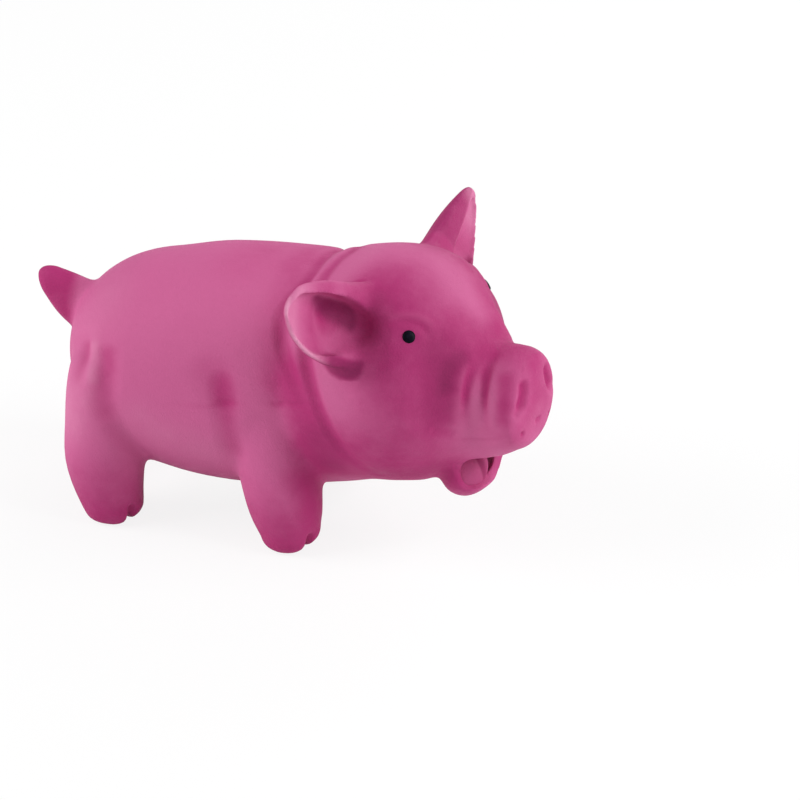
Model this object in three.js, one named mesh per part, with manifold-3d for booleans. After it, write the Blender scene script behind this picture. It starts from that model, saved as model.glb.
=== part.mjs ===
// A squeaky latex pig for dogs: a soft moulded skin stuffed with fibre, round a squeaker in the belly.
// Millimetres, +Z up, +X towards the snout, +Y to the pig's left.
import * as THREE from "three";
import { ConvexGeometry } from "three/addons/geometries/ConvexGeometry.js";
import { mergeVertices } from "three/addons/utils/BufferGeometryUtils.js";
import Module from "manifold-3d";

const wasm = await Module();
wasm.setup();

// Skin and fits
const WALL = 2.5; // latex wall
const GAP = 0.3; // between neighbouring solids
const FIBRE_GAP = 0.4; // between the skin and its stuffing
const OVERCUT = 6; // how far a cutter runs past what it cuts

// Torso: oval rings along X, each at its share of the way from the rump to the neck
const RUMP_X = -59;
const TORSO_LONG = 101;
const NECK_X = RUMP_X + TORSO_LONG;
const RUMP_DOME = 35;
const TORSO_RINGS = [
  { at: 0, z: 60, wide: 35, up: 34, down: 36 },
  { at: 0.287, z: 57, wide: 41, up: 41.5, down: 39.5 },
  { at: 0.584, z: 57.5, wide: 43.5, up: 45, down: 43 },
  { at: 0.822, z: 61, wide: 43.5, up: 44.5, down: 44 },
];
const BELLY = TORSO_RINGS[2];
const NECK = { z: 64.5, wide: 40.5, up: 42.5, down: 42.5 };

// Head: rings along its own axis, which turns to the pig's right, each at its share of the way to the snout
const HEAD_LONG = 83;
const HEAD_TURN = THREE.MathUtils.degToRad(15);
const HEAD_RINGS = [
  { at: 0.169, z: 69, wide: 42, up: 43, down: 43.5 },
  { at: 0.337, z: 71, wide: 42.5, up: 43, down: 42.5 },
  { at: 0.482, z: 71.5, wide: 40.5, up: 40.5, down: 41.5 },
  { at: 0.602, z: 71.5, wide: 35, up: 34, down: 38 },
  { at: 0.699, z: 71.5, wide: 28, up: 26.5, down: 31 },
  { at: 0.795, z: 71, wide: 21, up: 20, down: 27 },
  { at: 0.892, z: 70, wide: 17.5, up: 18, down: 24 },
];
const SNOUT_RINGS = [
  { x: -3, z: 69.5, wide: 16.5, up: 18.5, down: 19.5 },
  { x: 0, z: 69.5, wide: 14.5, up: 16.5, down: 17 },
];
const NOSTRIL = { side: 7.6, z: 75, wide: 2.6, high: 4.4, deep: 1.6 };
const EYE = { x: 0.566 * HEAD_LONG, z: 96, radius: 2.5, thick: 1.6 };

// Mouth: a pocket under the muzzle, closed below by a lip that hangs open
const MOUTH = { x: 0.711 * HEAD_LONG, z: 42, long: 9.5, wide: 9, high: 7 };
const JAW = { x: 0.681 * HEAD_LONG, z: 41.5, long: 13.5, wide: 13, deep: 15.5, rimZ: 42.5 };
const JAW_HINGE = new THREE.Vector3(JAW.x - 10.5, 0, JAW.z - 3.5);
const JAW_SWING = [-3, 12];
const TONGUE = { x: JAW.x, z: JAW.z - 8.5, long: 10, wide: 5.5, thick: 6 };

// Ears: hoods on the sides of the skull, hollow in front, their backs running down into the neck
const EAR_ROOT = new THREE.Vector3(0.361 * HEAD_LONG, 32, 97.5);
const EAR_REACH = new THREE.Vector3(-11.5, 29.5, 14.5); // from the root to the tip
const EAR_FACING = new THREE.Vector3(0.93, 0.18, 0.31);
const EAR_WALL = 2.4;
const EAR_SUNK = 3;
const EAR_PIVOT_BACK = 5;
const EAR_POCKET = 14; // how far from its axis the root needs room in the skull
const EAR_SWING = [-15, 20];
const EAR_LEAF = [
  { share: 0, wide: 10.5, lean: 0.5, front: 2.5, back: 10.5 },
  { share: 0.25, wide: 13, lean: 0, front: 2, back: 9 },
  { share: 0.5, wide: 13.5, lean: 0.5, front: 1.5, back: 7 },
  { share: 0.8, wide: 9.5, lean: 2.5, front: 1.2, back: 4.2 },
  { share: 1, wide: 5.5, lean: 4, front: 1, back: 2.4 },
];
const EAR_HOLLOW = [0.1, 0.9];

// Legs: oval rings up from the flat sole, each ahead of the foot's place and set out from the mid-plane by side
const FRONT_FOOT_X = NECK_X - 6;
const REAR_FOOT_X = RUMP_X + 25.5;
const SOLE_Z = 2.4;
const SOLE_EDGE = SOLE_Z + 3.6; // top of the rounded edge round a sole
const FRONT_LEG = [
  { height: SOLE_Z, ahead: 0, side: 30, wide: 8.4, fore: 8.8, aft: 8.2 },
  { height: SOLE_EDGE, ahead: 0.5, side: 30, wide: 11.8, fore: 12.2, aft: 11.4 },
  { height: 12, ahead: -0.7, side: 30, wide: 12.6, fore: 12.6, aft: 13.2 },
  { height: 24, ahead: -2.5, side: 30, wide: 14, fore: 15, aft: 15.5 },
  { height: 38, ahead: -5, side: 28, wide: 14, fore: 15, aft: 16 },
  { height: 54, ahead: -8, side: 24, wide: 13, fore: 15, aft: 16 },
];
const REAR_LEG = [
  { height: SOLE_Z, ahead: 0, side: 30, wide: 8.4, fore: 8.8, aft: 8.2 },
  { height: SOLE_EDGE, ahead: 0.3, side: 30, wide: 11.8, fore: 12.2, aft: 11.4 },
  { height: 12, ahead: -0.7, side: 30, wide: 12.6, fore: 12.4, aft: 13.2 },
  { height: 24, ahead: -2.5, side: 30, wide: 14, fore: 14.8, aft: 15 },
  { height: 40, ahead: -2.5, side: 28, wide: 14.5, fore: 16, aft: 14.5 },
  { height: 58, ahead: 0.5, side: 24, wide: 14, fore: 16, aft: 15 },
];
const HIP_ROUND = 16;
const CLEFT = { wide: 1.8, deep: 6, high: SOLE_Z + 8.5 };

// Tail
const TAIL_ROOT = new THREE.Vector3(RUMP_X + 3.5, 0, 72.5);
const TAIL_LENGTH = 21;
const TAIL_RISE = THREE.MathUtils.degToRad(24);
const TAIL_SUNK = 4;
const TAIL_POCKET = 10;
const TAIL_SWING = [-25, 25];

// Squeaker: a bellows on a reed pipe, which a plug holds in the belly hole
const SQUEAKER_X = RUMP_X + BELLY.at * TORSO_LONG;
const HOLE_R = 6.5;
const PLUG = { flangeR: 9, flange: 1.2, lockR: 8.2, lock: 1.2 };
const PIPE = { bore: 2.2, radius: 3.4, collarR: 4.8, collar: 1, above: 13 };
const SEAT = { long: 12.5, grooveWide: 1.4, grooveDeep: 0.65 };
const REED = { wide: 2.4, thick: 0.5, long: SEAT.long, held: 3 };
const BELLOWS = { foldR: 15, waistR: 11, folds: 4, pitch: 7, floor: 1.2, wall: 1.6, neck: 5, neckWall: 1.2 };
const CROWN = { radius: 11.5, thick: 1.8 };

// Facets round the outside and the inside of a form
const SIDES = 24;
const INNER_SIDES = 16;

// A mesh geometry as a solid that can be joined and cut
function solid(geometry) {
  const bare = geometry.clone();
  bare.deleteAttribute("normal");
  bare.deleteAttribute("uv");
  const merged = mergeVertices(bare, 1e-4);
  return new wasm.Manifold(
    new wasm.Mesh({
      numProp: 3,
      vertProperties: new Float32Array(merged.attributes.position.array),
      triVerts: new Uint32Array(merged.index.array),
    }),
  );
}

function geometryOf(shape) {
  const made = shape.getMesh();
  const geometry = new THREE.BufferGeometry();
  geometry.setAttribute("position", new THREE.BufferAttribute(new Float32Array(made.vertProperties), 3));
  geometry.setIndex(new THREE.BufferAttribute(new Uint32Array(made.triVerts), 1));
  geometry.computeVertexNormals();
  return geometry;
}

// The rings of a loft, smoothly joined: the ring { y, z, wide, up, down, yaw } at any place along it
function ringTrack(rings) {
  const values = rings.flatMap((r) => [r.y ?? 0, r.z ?? 0, r.wide, r.up, r.down, r.yaw ?? 0]);
  const track = new THREE.CubicInterpolant(rings.map((r) => r.x), values, 6, new Float32Array(6));
  return (x) => {
    const [y, z, wide, up, down, yaw] = track.evaluate(THREE.MathUtils.clamp(x, rings[0].x, rings.at(-1).x));
    return { y, z, wide, up, down, yaw };
  };
}

// A closed loft along X through oval rings. A dome rounds an end over its length, and growing moves
// it too; a run carries a flat end on past its last ring. Steps crowd towards a dome or a tight end.
function loft(rings, options) {
  const { steps, sides = SIDES, grow = 0, startDome = 0, endDome = 0, startRun = 0, endRun = 0 } = options;
  const tightEnd = endDome > 0 || options.tightEnd;
  const ringOf = ringTrack(rings);
  const from = rings[0].x - (startDome ? grow : 0);
  const to = rings.at(-1).x + (endDome ? grow : 0);
  const positions = [];
  const addRing = (x, run, squeeze) => {
    const ring = ringOf(x);
    const ahead = [Math.cos(ring.yaw), Math.sin(ring.yaw)];
    const centre = [x + run * ahead[0], ring.y + run * ahead[1], ring.z];
    for (let k = 0; k < sides; k++) {
      const turn = (2 * Math.PI * k) / sides;
      const tall = Math.sin(turn) > 0 ? ring.up : ring.down;
      const across = Math.cos(turn) * (ring.wide + grow) * squeeze;
      const rise = Math.sin(turn) * (tall + grow) * squeeze;
      positions.push(centre[0] - across * ahead[1], centre[1] + across * ahead[0], centre[2] + rise);
    }
    return centre;
  };
  const roundOff = (near, dome) => (dome && near < dome ? Math.sqrt(1 - (1 - near / dome) ** 2) : 1);
  const crowd = (share) => {
    if (startDome && tightEnd) return (1 - Math.cos(Math.PI * share)) / 2;
    if (startDome) return 1 - Math.cos((Math.PI * share) / 2);
    return tightEnd ? Math.sin((Math.PI * share) / 2) : share;
  };
  const centres = [];
  if (startRun) centres.push(addRing(rings[0].x, -startRun, 1));
  for (let i = startDome ? 1 : 0; i <= steps - (endDome ? 1 : 0); i++) {
    const x = from + (to - from) * crowd(i / steps);
    const squeeze = roundOff(x - from, startDome && startDome + grow) * roundOff(to - x, endDome && endDome + grow);
    centres.push(addRing(x, 0, squeeze));
  }
  if (endRun) centres.push(addRing(rings.at(-1).x, endRun, 1));
  const start = positions.length / 3;
  const tip = (x) => [x, ringOf(x).y, ringOf(x).z];
  positions.push(...(startDome ? tip(from) : centres[0]), ...(endDome ? tip(to) : centres.at(-1)));
  const faces = [];
  const end = (centres.length - 1) * sides;
  for (let k = 0; k < sides; k++) {
    const next = (k + 1) % sides;
    faces.push(start, next, k, start + 1, end + k, end + next);
    for (let a = 0; a < end; a += sides) {
      const b = a + sides;
      faces.push(a + k, a + next, b + next, a + k, b + next, b + k);
    }
  }
  const geometry = new THREE.BufferGeometry();
  geometry.setAttribute("position", new THREE.Float32BufferAttribute(positions, 3));
  geometry.setIndex(faces);
  return geometry;
}

function ellipsoid(long, wide, high, sides = 20) {
  return new THREE.SphereGeometry(1, sides, Math.round(sides * 0.6)).scale(long, wide, high);
}

// A turned piece: an outline of [radius, height] points, up the outside first, spun about Z.
// An outline that starts on the axis ends there too; any other is closed.
function turned(outline, sides = 20) {
  const round = outline[0][0] > 0 ? [...outline, outline[0]] : outline;
  const points = round.map(([r, z]) => new THREE.Vector2(r, z));
  return new THREE.LatheGeometry(points, sides).rotateX(Math.PI / 2);
}

function mirrored(geometry) {
  const copy = geometry.clone().scale(1, -1, 1);
  const index = copy.index.array;
  for (let i = 0; i < index.length; i += 3) [index[i + 1], index[i + 2]] = [index[i + 2], index[i + 1]];
  return copy;
}

// The room that the root of a swinging piece needs: a hull round the points that are near its axis
// as they pass through the swing
function swingRoom(geometry, pivot, axis, [low, high], reach) {
  const steps = Math.ceil((high - low) / 18);
  const place = geometry.attributes.position;
  const points = [];
  for (let i = 0; i < place.count; i++) {
    const from = new THREE.Vector3().fromBufferAttribute(place, i).sub(pivot);
    if (from.clone().projectOnPlane(axis).length() > reach) continue;
    for (let k = 0; k <= steps; k++) {
      const angle = THREE.MathUtils.degToRad(low + ((high - low) * k) / steps);
      points.push(from.clone().applyAxisAngle(axis, angle).add(pivot));
    }
  }
  return solid(new ConvexGeometry(points));
}

const FINISHES = {
  latex: { color: 0xc8669a, roughness: 0.62 },
  tongue: { color: 0xb05a82, roughness: 0.6 },
  eye_paint: { color: 0x0b0a14, roughness: 0.3 },
  fibre: { color: 0xf2f0ea, roughness: 0.95 },
  white_plastic: { color: 0xe9e8e2, roughness: 0.5 },
  reed_film: { color: 0xd8c27a, roughness: 0.35 },
};

function piece(group, name, shape, finish) {
  const mesh = new THREE.Mesh(geometryOf(shape), new THREE.MeshStandardMaterial(FINISHES[finish]));
  mesh.name = name;
  group.add(mesh);
}

const part = new THREE.Group();
const pig = new THREE.Group();
const torso = new THREE.Group();
const head = new THREE.Group();
const squeaker = new THREE.Group();
part.add(pig);
pig.add(torso, head, squeaker);
head.position.x = NECK_X;
head.rotation.z = -HEAD_TURN;
squeaker.position.x = SQUEAKER_X;

// Torso
const torsoRings = TORSO_RINGS.map((ring) => ({ ...ring, x: RUMP_X + ring.at * TORSO_LONG }));
torsoRings.push({ x: NECK_X, ...NECK, yaw: -HEAD_TURN / 2 });
function torsoForm(grow, endRun = 0) {
  const fine = grow < 0 ? { steps: 9, sides: INNER_SIDES } : { steps: 14 };
  return solid(loft(torsoRings, { ...fine, grow, startDome: RUMP_DOME, endRun }));
}

// Head rings, from the neck to the snout
const neckRing = { x: GAP, ...NECK, yaw: HEAD_TURN / 2 };
function headRings(grow) {
  const skull = HEAD_RINGS.map((ring) => ({ ...ring, x: ring.at * HEAD_LONG }));
  const snout = SNOUT_RINGS.map((ring) => ({ ...ring, x: ring.x + HEAD_LONG + grow }));
  return [neckRing, ...skull, ...snout];
}
function headLoft(grow, startRun = 0) {
  const fine = grow < 0 ? { steps: 11, sides: INNER_SIDES } : { steps: 18 };
  return loft(headRings(Math.min(grow, 0)), { ...fine, grow, startRun, tightEnd: true });
}

// Tail: a tapering stub that curls up, wider up and down than across
function tailForm(grow) {
  const rings = [
    { x: -TAIL_SUNK, z: 0, wide: 6, up: 8.5, down: 8 },
    { x: 0, z: 0, wide: 6.5, up: 10, down: 9.5 },
    { x: TAIL_LENGTH * 0.35, z: 0, wide: 6, up: 8.5, down: 8 },
    { x: TAIL_LENGTH * 0.7, z: -1, wide: 5.2, up: 6.5, down: 6 },
    { x: TAIL_LENGTH, z: -2.5, wide: 4.6, up: 5, down: 5 },
  ];
  const form = loft(rings, { steps: 8, sides: 12, grow, endDome: 6, startRun: Math.max(grow, 0) });
  return form.rotateY(Math.PI + TAIL_RISE).translate(...TAIL_ROOT);
}
const tailAxis = new THREE.Vector3(Math.sin(TAIL_RISE), 0, Math.cos(TAIL_RISE));
const tailPocket = (grow) => swingRoom(tailForm(GAP + grow), TAIL_ROOT, tailAxis, TAIL_SWING, TAIL_POCKET + grow);
piece(torso, "tail", solid(tailForm(0)), "latex");

// Legs hang from the torso: each is a loft down from the hip to the sole.
function legForm(leg, footX, side, grow) {
  const hip = leg.at(-1).height;
  const lift = Math.max(-grow, 0);
  const rings = leg.toReversed().map((ring) => ({
    x: hip - ring.height - (ring.height > SOLE_EDGE ? 0 : lift),
    y: side * ring.side,
    z: footX + ring.ahead,
    wide: ring.wide,
    up: ring.fore,
    down: ring.aft,
  }));
  const fine = grow < 0 ? { steps: 7, sides: 10 } : { steps: 10, sides: 14 };
  const form = loft(rings, { ...fine, grow, startDome: HIP_ROUND, tightEnd: true });
  return solid(form.rotateY(Math.PI / 2).translate(0, 0, hip));
}

// The toes are parted in front by a cleft.
function cleftForm(leg, footX, side, grow) {
  const long = CLEFT.deep + OVERCUT + grow;
  const high = CLEFT.high + OVERCUT + grow - SOLE_Z;
  const box = new THREE.BoxGeometry(long, CLEFT.wide + 2 * grow, high);
  const back = footX + leg[1].ahead + leg[1].fore - CLEFT.deep - grow;
  return solid(box.translate(back + long / 2, side * leg[1].side, CLEFT.high + grow - high / 2));
}

const torsoOutside = torsoForm(0);
const torsoRoom = torsoForm(-WALL, OVERCUT);
const torsoFibre = torsoForm(-WALL - FIBRE_GAP);
const torsoFibreClear = torsoForm(-WALL - FIBRE_GAP + GAP);
const headHere = solid(headLoft(GAP, GAP).rotateZ(-HEAD_TURN).translate(NECK_X, 0, 0));
const clearOfBoth = torsoForm(GAP).add(headHere);
let bodySkin = torsoOutside.subtract(tailPocket(0)).subtract(torsoRoom.subtract(tailPocket(WALL)));
for (const [name, leg, footX, side] of [
  ["front_right_leg", FRONT_LEG, FRONT_FOOT_X, -1],
  ["front_left_leg", FRONT_LEG, FRONT_FOOT_X, 1],
  ["rear_right_leg", REAR_LEG, REAR_FOOT_X, -1],
  ["rear_left_leg", REAR_LEG, REAR_FOOT_X, 1],
]) {
  const room = legForm(leg, footX, side, -WALL).subtract(cleftForm(leg, footX, side, WALL));
  const skin = legForm(leg, footX, side, 0)
    .subtract(clearOfBoth)
    .subtract(cleftForm(leg, footX, side, 0))
    .subtract(room);
  const wad = legForm(leg, footX, side, -WALL - FIBRE_GAP)
    .subtract(cleftForm(leg, footX, side, WALL + FIBRE_GAP))
    .subtract(torsoFibreClear)
    .subtract(headHere);
  bodySkin = bodySkin.subtract(room);
  piece(torso, name, skin, "latex");
  piece(torso, name + "_filling", wad, "fibre");
}

// Belly hole, with a flat seat round it for the plug
const bellyZ = BELLY.z - BELLY.down;
const seatZ = bellyZ + 1;
const tube = (radius, low, high) =>
  solid(turned([[0, low], [radius, low], [radius, high], [0, high]])).translate([SQUEAKER_X, 0, 0]);
bodySkin = bodySkin
  .subtract(tube(HOLE_R, bellyZ - OVERCUT, bellyZ + OVERCUT))
  .subtract(tube(PLUG.flangeR + GAP, bellyZ - OVERCUT, seatZ));
piece(torso, "body_skin", bodySkin, "latex");

// Squeaker, from the belly up
const flangeTop = seatZ - GAP;
const lockZ = bellyZ + WALL + 2.1;
const plugTop = lockZ + PLUG.lock;
const plugBore = PIPE.radius + GAP;
const plug = turned([
  [plugBore, flangeTop - PLUG.flange],
  [PLUG.flangeR, flangeTop - PLUG.flange],
  [PLUG.flangeR, flangeTop],
  [HOLE_R - GAP, flangeTop],
  [HOLE_R - GAP, lockZ],
  [PLUG.lockR, lockZ],
  [PLUG.lockR - 0.8, plugTop],
  [plugBore, plugTop],
]);
piece(squeaker, "vent_plug", solid(plug), "white_plastic");

const pipeFoot = flangeTop - PLUG.flange + 0.5;
const collarZ = plugTop + GAP;
const collarTop = collarZ + PIPE.collar;
const pipe = turned([
  [PIPE.bore, pipeFoot],
  [PIPE.radius, pipeFoot],
  [PIPE.radius, collarZ],
  [PIPE.collarR, collarZ],
  [PIPE.collarR, collarTop],
  [PIPE.radius, collarTop],
  [PIPE.radius, collarTop + PIPE.above],
  [PIPE.bore, collarTop + PIPE.above],
]);
piece(squeaker, "reed_pipe", solid(pipe), "white_plastic");

// The reed lies between a grooved seat and a short wedge, both pressed into the pipe.
const reedZ = pipeFoot + 2;
const faceX = REED.thick / 2 + GAP;
const pressR = PIPE.bore - GAP;
function halfRound(long, groove) {
  const edge = Math.acos(faceX / pressR);
  const outline = new THREE.Shape().absarc(0, 0, pressR, -edge, edge, false);
  if (groove) {
    outline.lineTo(faceX, SEAT.grooveWide / 2);
    outline.lineTo(faceX + SEAT.grooveDeep, SEAT.grooveWide / 2);
    outline.lineTo(faceX + SEAT.grooveDeep, -SEAT.grooveWide / 2);
    outline.lineTo(faceX, -SEAT.grooveWide / 2);
  }
  return new THREE.ExtrudeGeometry(outline, { depth: long, bevelEnabled: false, curveSegments: 10 });
}
piece(squeaker, "reed_seat", solid(halfRound(SEAT.long, true).translate(0, 0, reedZ)), "white_plastic");
piece(squeaker, "reed_wedge", solid(halfRound(REED.held, false).rotateZ(Math.PI).translate(0, 0, reedZ)), "white_plastic");
const reed = new THREE.BoxGeometry(REED.thick, REED.wide, REED.long).translate(0, 0, reedZ + REED.long / 2);
piece(squeaker, "reed", solid(reed), "reed_film");

// Bellows: a neck on the pipe, a floor, and folds up to the crown
const neckZ = collarTop + GAP;
const floorZ = neckZ + BELLOWS.neck;
const bellowsTop = floorZ + BELLOWS.folds * BELLOWS.pitch;
const outside = [];
const inside = [];
for (let i = 0; i < BELLOWS.folds; i++) {
  const fold = floorZ + (i + 0.5) * BELLOWS.pitch;
  const waist = floorZ + (i + 1) * BELLOWS.pitch;
  outside.push([BELLOWS.foldR, fold], [BELLOWS.waistR, waist]);
  inside.unshift([BELLOWS.waistR - BELLOWS.wall, waist], [BELLOWS.foldR - BELLOWS.wall, fold]);
}
const bellows = turned([
  [plugBore, neckZ],
  [plugBore + BELLOWS.neckWall, neckZ],
  [plugBore + BELLOWS.neckWall, floorZ],
  [BELLOWS.waistR, floorZ],
  ...outside,
  ...inside,
  [BELLOWS.waistR - BELLOWS.wall, floorZ + BELLOWS.floor],
  [plugBore, floorZ + BELLOWS.floor],
]);
piece(squeaker, "bellows_folds", solid(bellows), "white_plastic");
const crownZ = bellowsTop + GAP;
const crown = turned([
  [0, crownZ],
  [CROWN.radius, crownZ],
  [CROWN.radius, crownZ + CROWN.thick / 2],
  [CROWN.radius - 1.5, crownZ + CROWN.thick],
  [0, crownZ + CROWN.thick],
]);
piece(squeaker, "bellows_crown", solid(crown), "white_plastic");

const bellowsRoom = tube(BELLOWS.foldR + FIBRE_GAP, bellyZ - OVERCUT, crownZ + CROWN.thick + FIBRE_GAP);
const bodyFibre = torsoFibre.subtract(bellowsRoom).subtract(tailPocket(WALL + FIBRE_GAP));
piece(torso, "body_filling", bodyFibre, "fibre");

// Head, in its own turned frame
const headForm = (grow, startRun) => solid(headLoft(grow, startRun));

// Lower lip: a bowl with a flat rim
const bowlRoom = (grow) =>
  solid(ellipsoid(JAW.long + grow, JAW.wide + grow, JAW.deep + grow, 16).translate(JAW.x, 0, JAW.z));
function bowl(grow) {
  const [long, wide, high] = [JAW.long, JAW.wide, JAW.deep].map((size) => 2 * (size + grow + OVERCUT));
  const rim = JAW.rimZ + Math.max(grow, 0);
  const above = new THREE.BoxGeometry(long, wide, high).translate(JAW.x, 0, rim + high / 2);
  return bowlRoom(grow).subtract(solid(above));
}
const jawAxis = new THREE.Vector3(0, 1, 0);
const mouthPocket = (grow) =>
  swingRoom(geometryOf(bowl(GAP + grow)), JAW_HINGE, jawAxis, JAW_SWING, 2 * JAW.long + WALL + grow).add(
    solid(ellipsoid(MOUTH.long + grow, MOUTH.wide + grow, MOUTH.high + grow, 12).translate(MOUTH.x, 0, MOUTH.z)),
  );
piece(head, "lower_jaw", bowl(0).subtract(bowlRoom(-WALL)), "latex");
const tongue = solid(ellipsoid(TONGUE.long, TONGUE.wide, TONGUE.thick, 12).translate(TONGUE.x, 0, TONGUE.z));
piece(head, "tongue", tongue.intersect(bowlRoom(-WALL - GAP)), "tongue");

// Ears, each with its root sunk in the skull
const earAlong = EAR_REACH.clone();
const earLong = earAlong.length();
earAlong.normalize();
const earAcross = EAR_FACING.clone().cross(earAlong).normalize();
const earFace = earAlong.clone().cross(earAcross);
const earPivot = EAR_ROOT.clone().addScaledVector(earFace, -EAR_PIVOT_BACK);
const earFrame = new THREE.Matrix4().makeBasis(earAlong, earAcross, earFace).setPosition(EAR_ROOT);
const earRing = ({ share, wide, lean, front, back }) => ({ x: share * earLong, y: lean, wide, up: front, down: back });
function earForm(grow) {
  const root = { ...EAR_LEAF[0], share: -EAR_SUNK / earLong };
  const rings = [root, ...EAR_LEAF].map(earRing);
  return loft(rings, { steps: 8, sides: 14, grow, endDome: 6, startRun: Math.max(grow, 0) }).applyMatrix4(earFrame);
}
function earHollow() {
  const leaf = ringTrack(EAR_LEAF.map(earRing));
  const [from, to] = EAR_HOLLOW;
  const rings = [0, 0.33, 0.67, 1].map((step) => {
    const x = (from + (to - from) * step) * earLong;
    const ring = leaf(x);
    return { x, y: ring.y, wide: ring.wide - EAR_WALL, up: OVERCUT, down: Math.max(ring.down - EAR_WALL, 0.8) };
  });
  return solid(loft(rings, { steps: 7, sides: 12, startDome: 5, endDome: 6 }).applyMatrix4(earFrame));
}
const ear = solid(earForm(0)).subtract(earHollow());
const earPocket = (grow) => {
  const left = swingRoom(earForm(GAP + grow), earPivot, earAcross, EAR_SWING, EAR_POCKET + grow);
  return left.add(left.mirror([0, 1, 0]));
};
piece(head, "left_ear", ear, "latex");
piece(head, "right_ear", ear.mirror([0, 1, 0]), "latex");

// Eyes: small domes of paint, each in a shallow dimple
const eyeRing = ringTrack(headRings(0));
function skullSide(x, z) {
  const ring = eyeRing(x);
  return new THREE.Vector3(x, ring.wide * Math.sqrt(1 - ((z - ring.z) / ring.up) ** 2), z);
}
const eyePlace = skullSide(EYE.x, EYE.z);
const eyeNormal = skullSide(EYE.x, EYE.z - 1)
  .sub(skullSide(EYE.x, EYE.z + 1))
  .cross(skullSide(EYE.x - 1, EYE.z).sub(skullSide(EYE.x + 1, EYE.z)))
  .normalize();
function eyeForm(grow) {
  const facing = new THREE.Quaternion().setFromUnitVectors(new THREE.Vector3(0, 0, 1), eyeNormal);
  return ellipsoid(EYE.radius + grow, EYE.radius + grow, EYE.thick / 2 + grow, 12)
    .applyQuaternion(facing)
    .translate(...eyePlace);
}
piece(head, "left_eye", solid(eyeForm(0)), "eye_paint");
piece(head, "right_eye", solid(mirrored(eyeForm(0))), "eye_paint");
const dimple = solid(eyeForm(GAP));
const eyeDimples = dimple.add(dimple.mirror([0, 1, 0]));

const nostril = solid(
  ellipsoid(NOSTRIL.deep, NOSTRIL.wide, NOSTRIL.high, 12).translate(HEAD_LONG, NOSTRIL.side, NOSTRIL.z),
);
const nostrils = nostril.add(nostril.mirror([0, 1, 0]));

const headRoom = headForm(-WALL, OVERCUT).subtract(mouthPocket(WALL)).subtract(earPocket(WALL));
const headSkin = headForm(0)
  .subtract(headRoom)
  .subtract(mouthPocket(0))
  .subtract(earPocket(0))
  .subtract(eyeDimples)
  .subtract(nostrils);
piece(head, "head_skin", headSkin, "latex");
const headFibre = headForm(-WALL - FIBRE_GAP)
  .subtract(mouthPocket(WALL + FIBRE_GAP))
  .subtract(earPocket(WALL + FIBRE_GAP));
piece(head, "head_filling", headFibre, "fibre");

// The origin is under the middle of the whole pig, on the ground.
const extent = new THREE.Box3().setFromObject(pig, true);
const middle = extent.getCenter(new THREE.Vector3());
pig.position.set(-middle.x, -middle.y, -extent.min.z);

export default part;
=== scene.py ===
import math

import bmesh
import bpy
import numpy as np
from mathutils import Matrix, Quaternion, Vector
from mathutils.bvhtree import BVHTree


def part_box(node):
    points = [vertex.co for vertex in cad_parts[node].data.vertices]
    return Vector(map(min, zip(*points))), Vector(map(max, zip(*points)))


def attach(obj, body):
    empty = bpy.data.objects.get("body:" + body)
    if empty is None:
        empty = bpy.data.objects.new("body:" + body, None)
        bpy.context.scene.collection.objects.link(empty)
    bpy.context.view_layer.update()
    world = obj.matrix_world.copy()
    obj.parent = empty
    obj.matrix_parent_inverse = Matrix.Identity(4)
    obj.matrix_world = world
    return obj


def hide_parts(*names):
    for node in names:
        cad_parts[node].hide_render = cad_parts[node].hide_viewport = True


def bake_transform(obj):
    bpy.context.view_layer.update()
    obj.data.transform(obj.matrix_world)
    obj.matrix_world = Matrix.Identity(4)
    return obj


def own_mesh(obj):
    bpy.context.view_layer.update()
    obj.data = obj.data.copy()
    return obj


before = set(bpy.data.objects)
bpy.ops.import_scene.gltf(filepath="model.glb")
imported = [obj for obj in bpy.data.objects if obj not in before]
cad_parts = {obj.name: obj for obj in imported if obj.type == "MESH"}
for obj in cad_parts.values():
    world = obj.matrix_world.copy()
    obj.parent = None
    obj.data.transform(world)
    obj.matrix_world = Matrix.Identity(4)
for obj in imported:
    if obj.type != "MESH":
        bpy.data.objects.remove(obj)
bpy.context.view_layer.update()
scene = bpy.context.scene

# Places: the pig is drawn in millimetres, its nose to +X, its left to +Y, the middle of its belly at 0, 0

MM = 0.001
RUMP_X, NECK_X = -59.0, 42.0
SOLE_Z = 2.4
HEAD_TURN = math.radians(15)
plug_low, plug_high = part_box("vent_plug")
BELLY_MIDDLE = (plug_low + plug_high) / 2
SHIFT = Vector((BELLY_MIDDLE.x, BELLY_MIDDLE.y, -SOLE_Z * MM))


def pig_place(x, y, z):
    return Vector((x, y, z)) * MM + SHIFT


def head_place(x, y, z, turn=HEAD_TURN):
    """A place on the head: x runs from the neck to the snout."""
    c, s = math.cos(turn), math.sin(turn)
    return pig_place(NECK_X + x * c + y * s, y * c - x * s, z)


def pig_coords(places):
    return (np.asarray(places) - np.array(SHIFT)) / MM


def head_coords(places, turn=HEAD_TURN):
    c, s = math.cos(turn), math.sin(turn)
    x, y, z = (pig_coords(places) - [NECK_X, 0, 0]).T
    return np.stack([x * c - y * s, x * s + y * c, z], 1)


# Camera, as the photograph was taken: the pig stands left of the middle of the picture

IMAGE = 800
LENS_PIXELS = 2412.87
CAMERA_AZIMUTH, CAMERA_ELEVATION = math.radians(19.5), math.radians(25)
CAMERA_DISTANCE = 0.9
PIG_MIDDLE = pig_place(0, 0, 59)
PIG_MIDDLE_PIXEL = (225, 357)


def pixel_ray(px, py):
    """The direction of a pixel of the picture, in the camera's own axes."""
    return Vector((px - IMAGE / 2, IMAGE / 2 - py, -LENS_PIXELS)).normalized()


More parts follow.
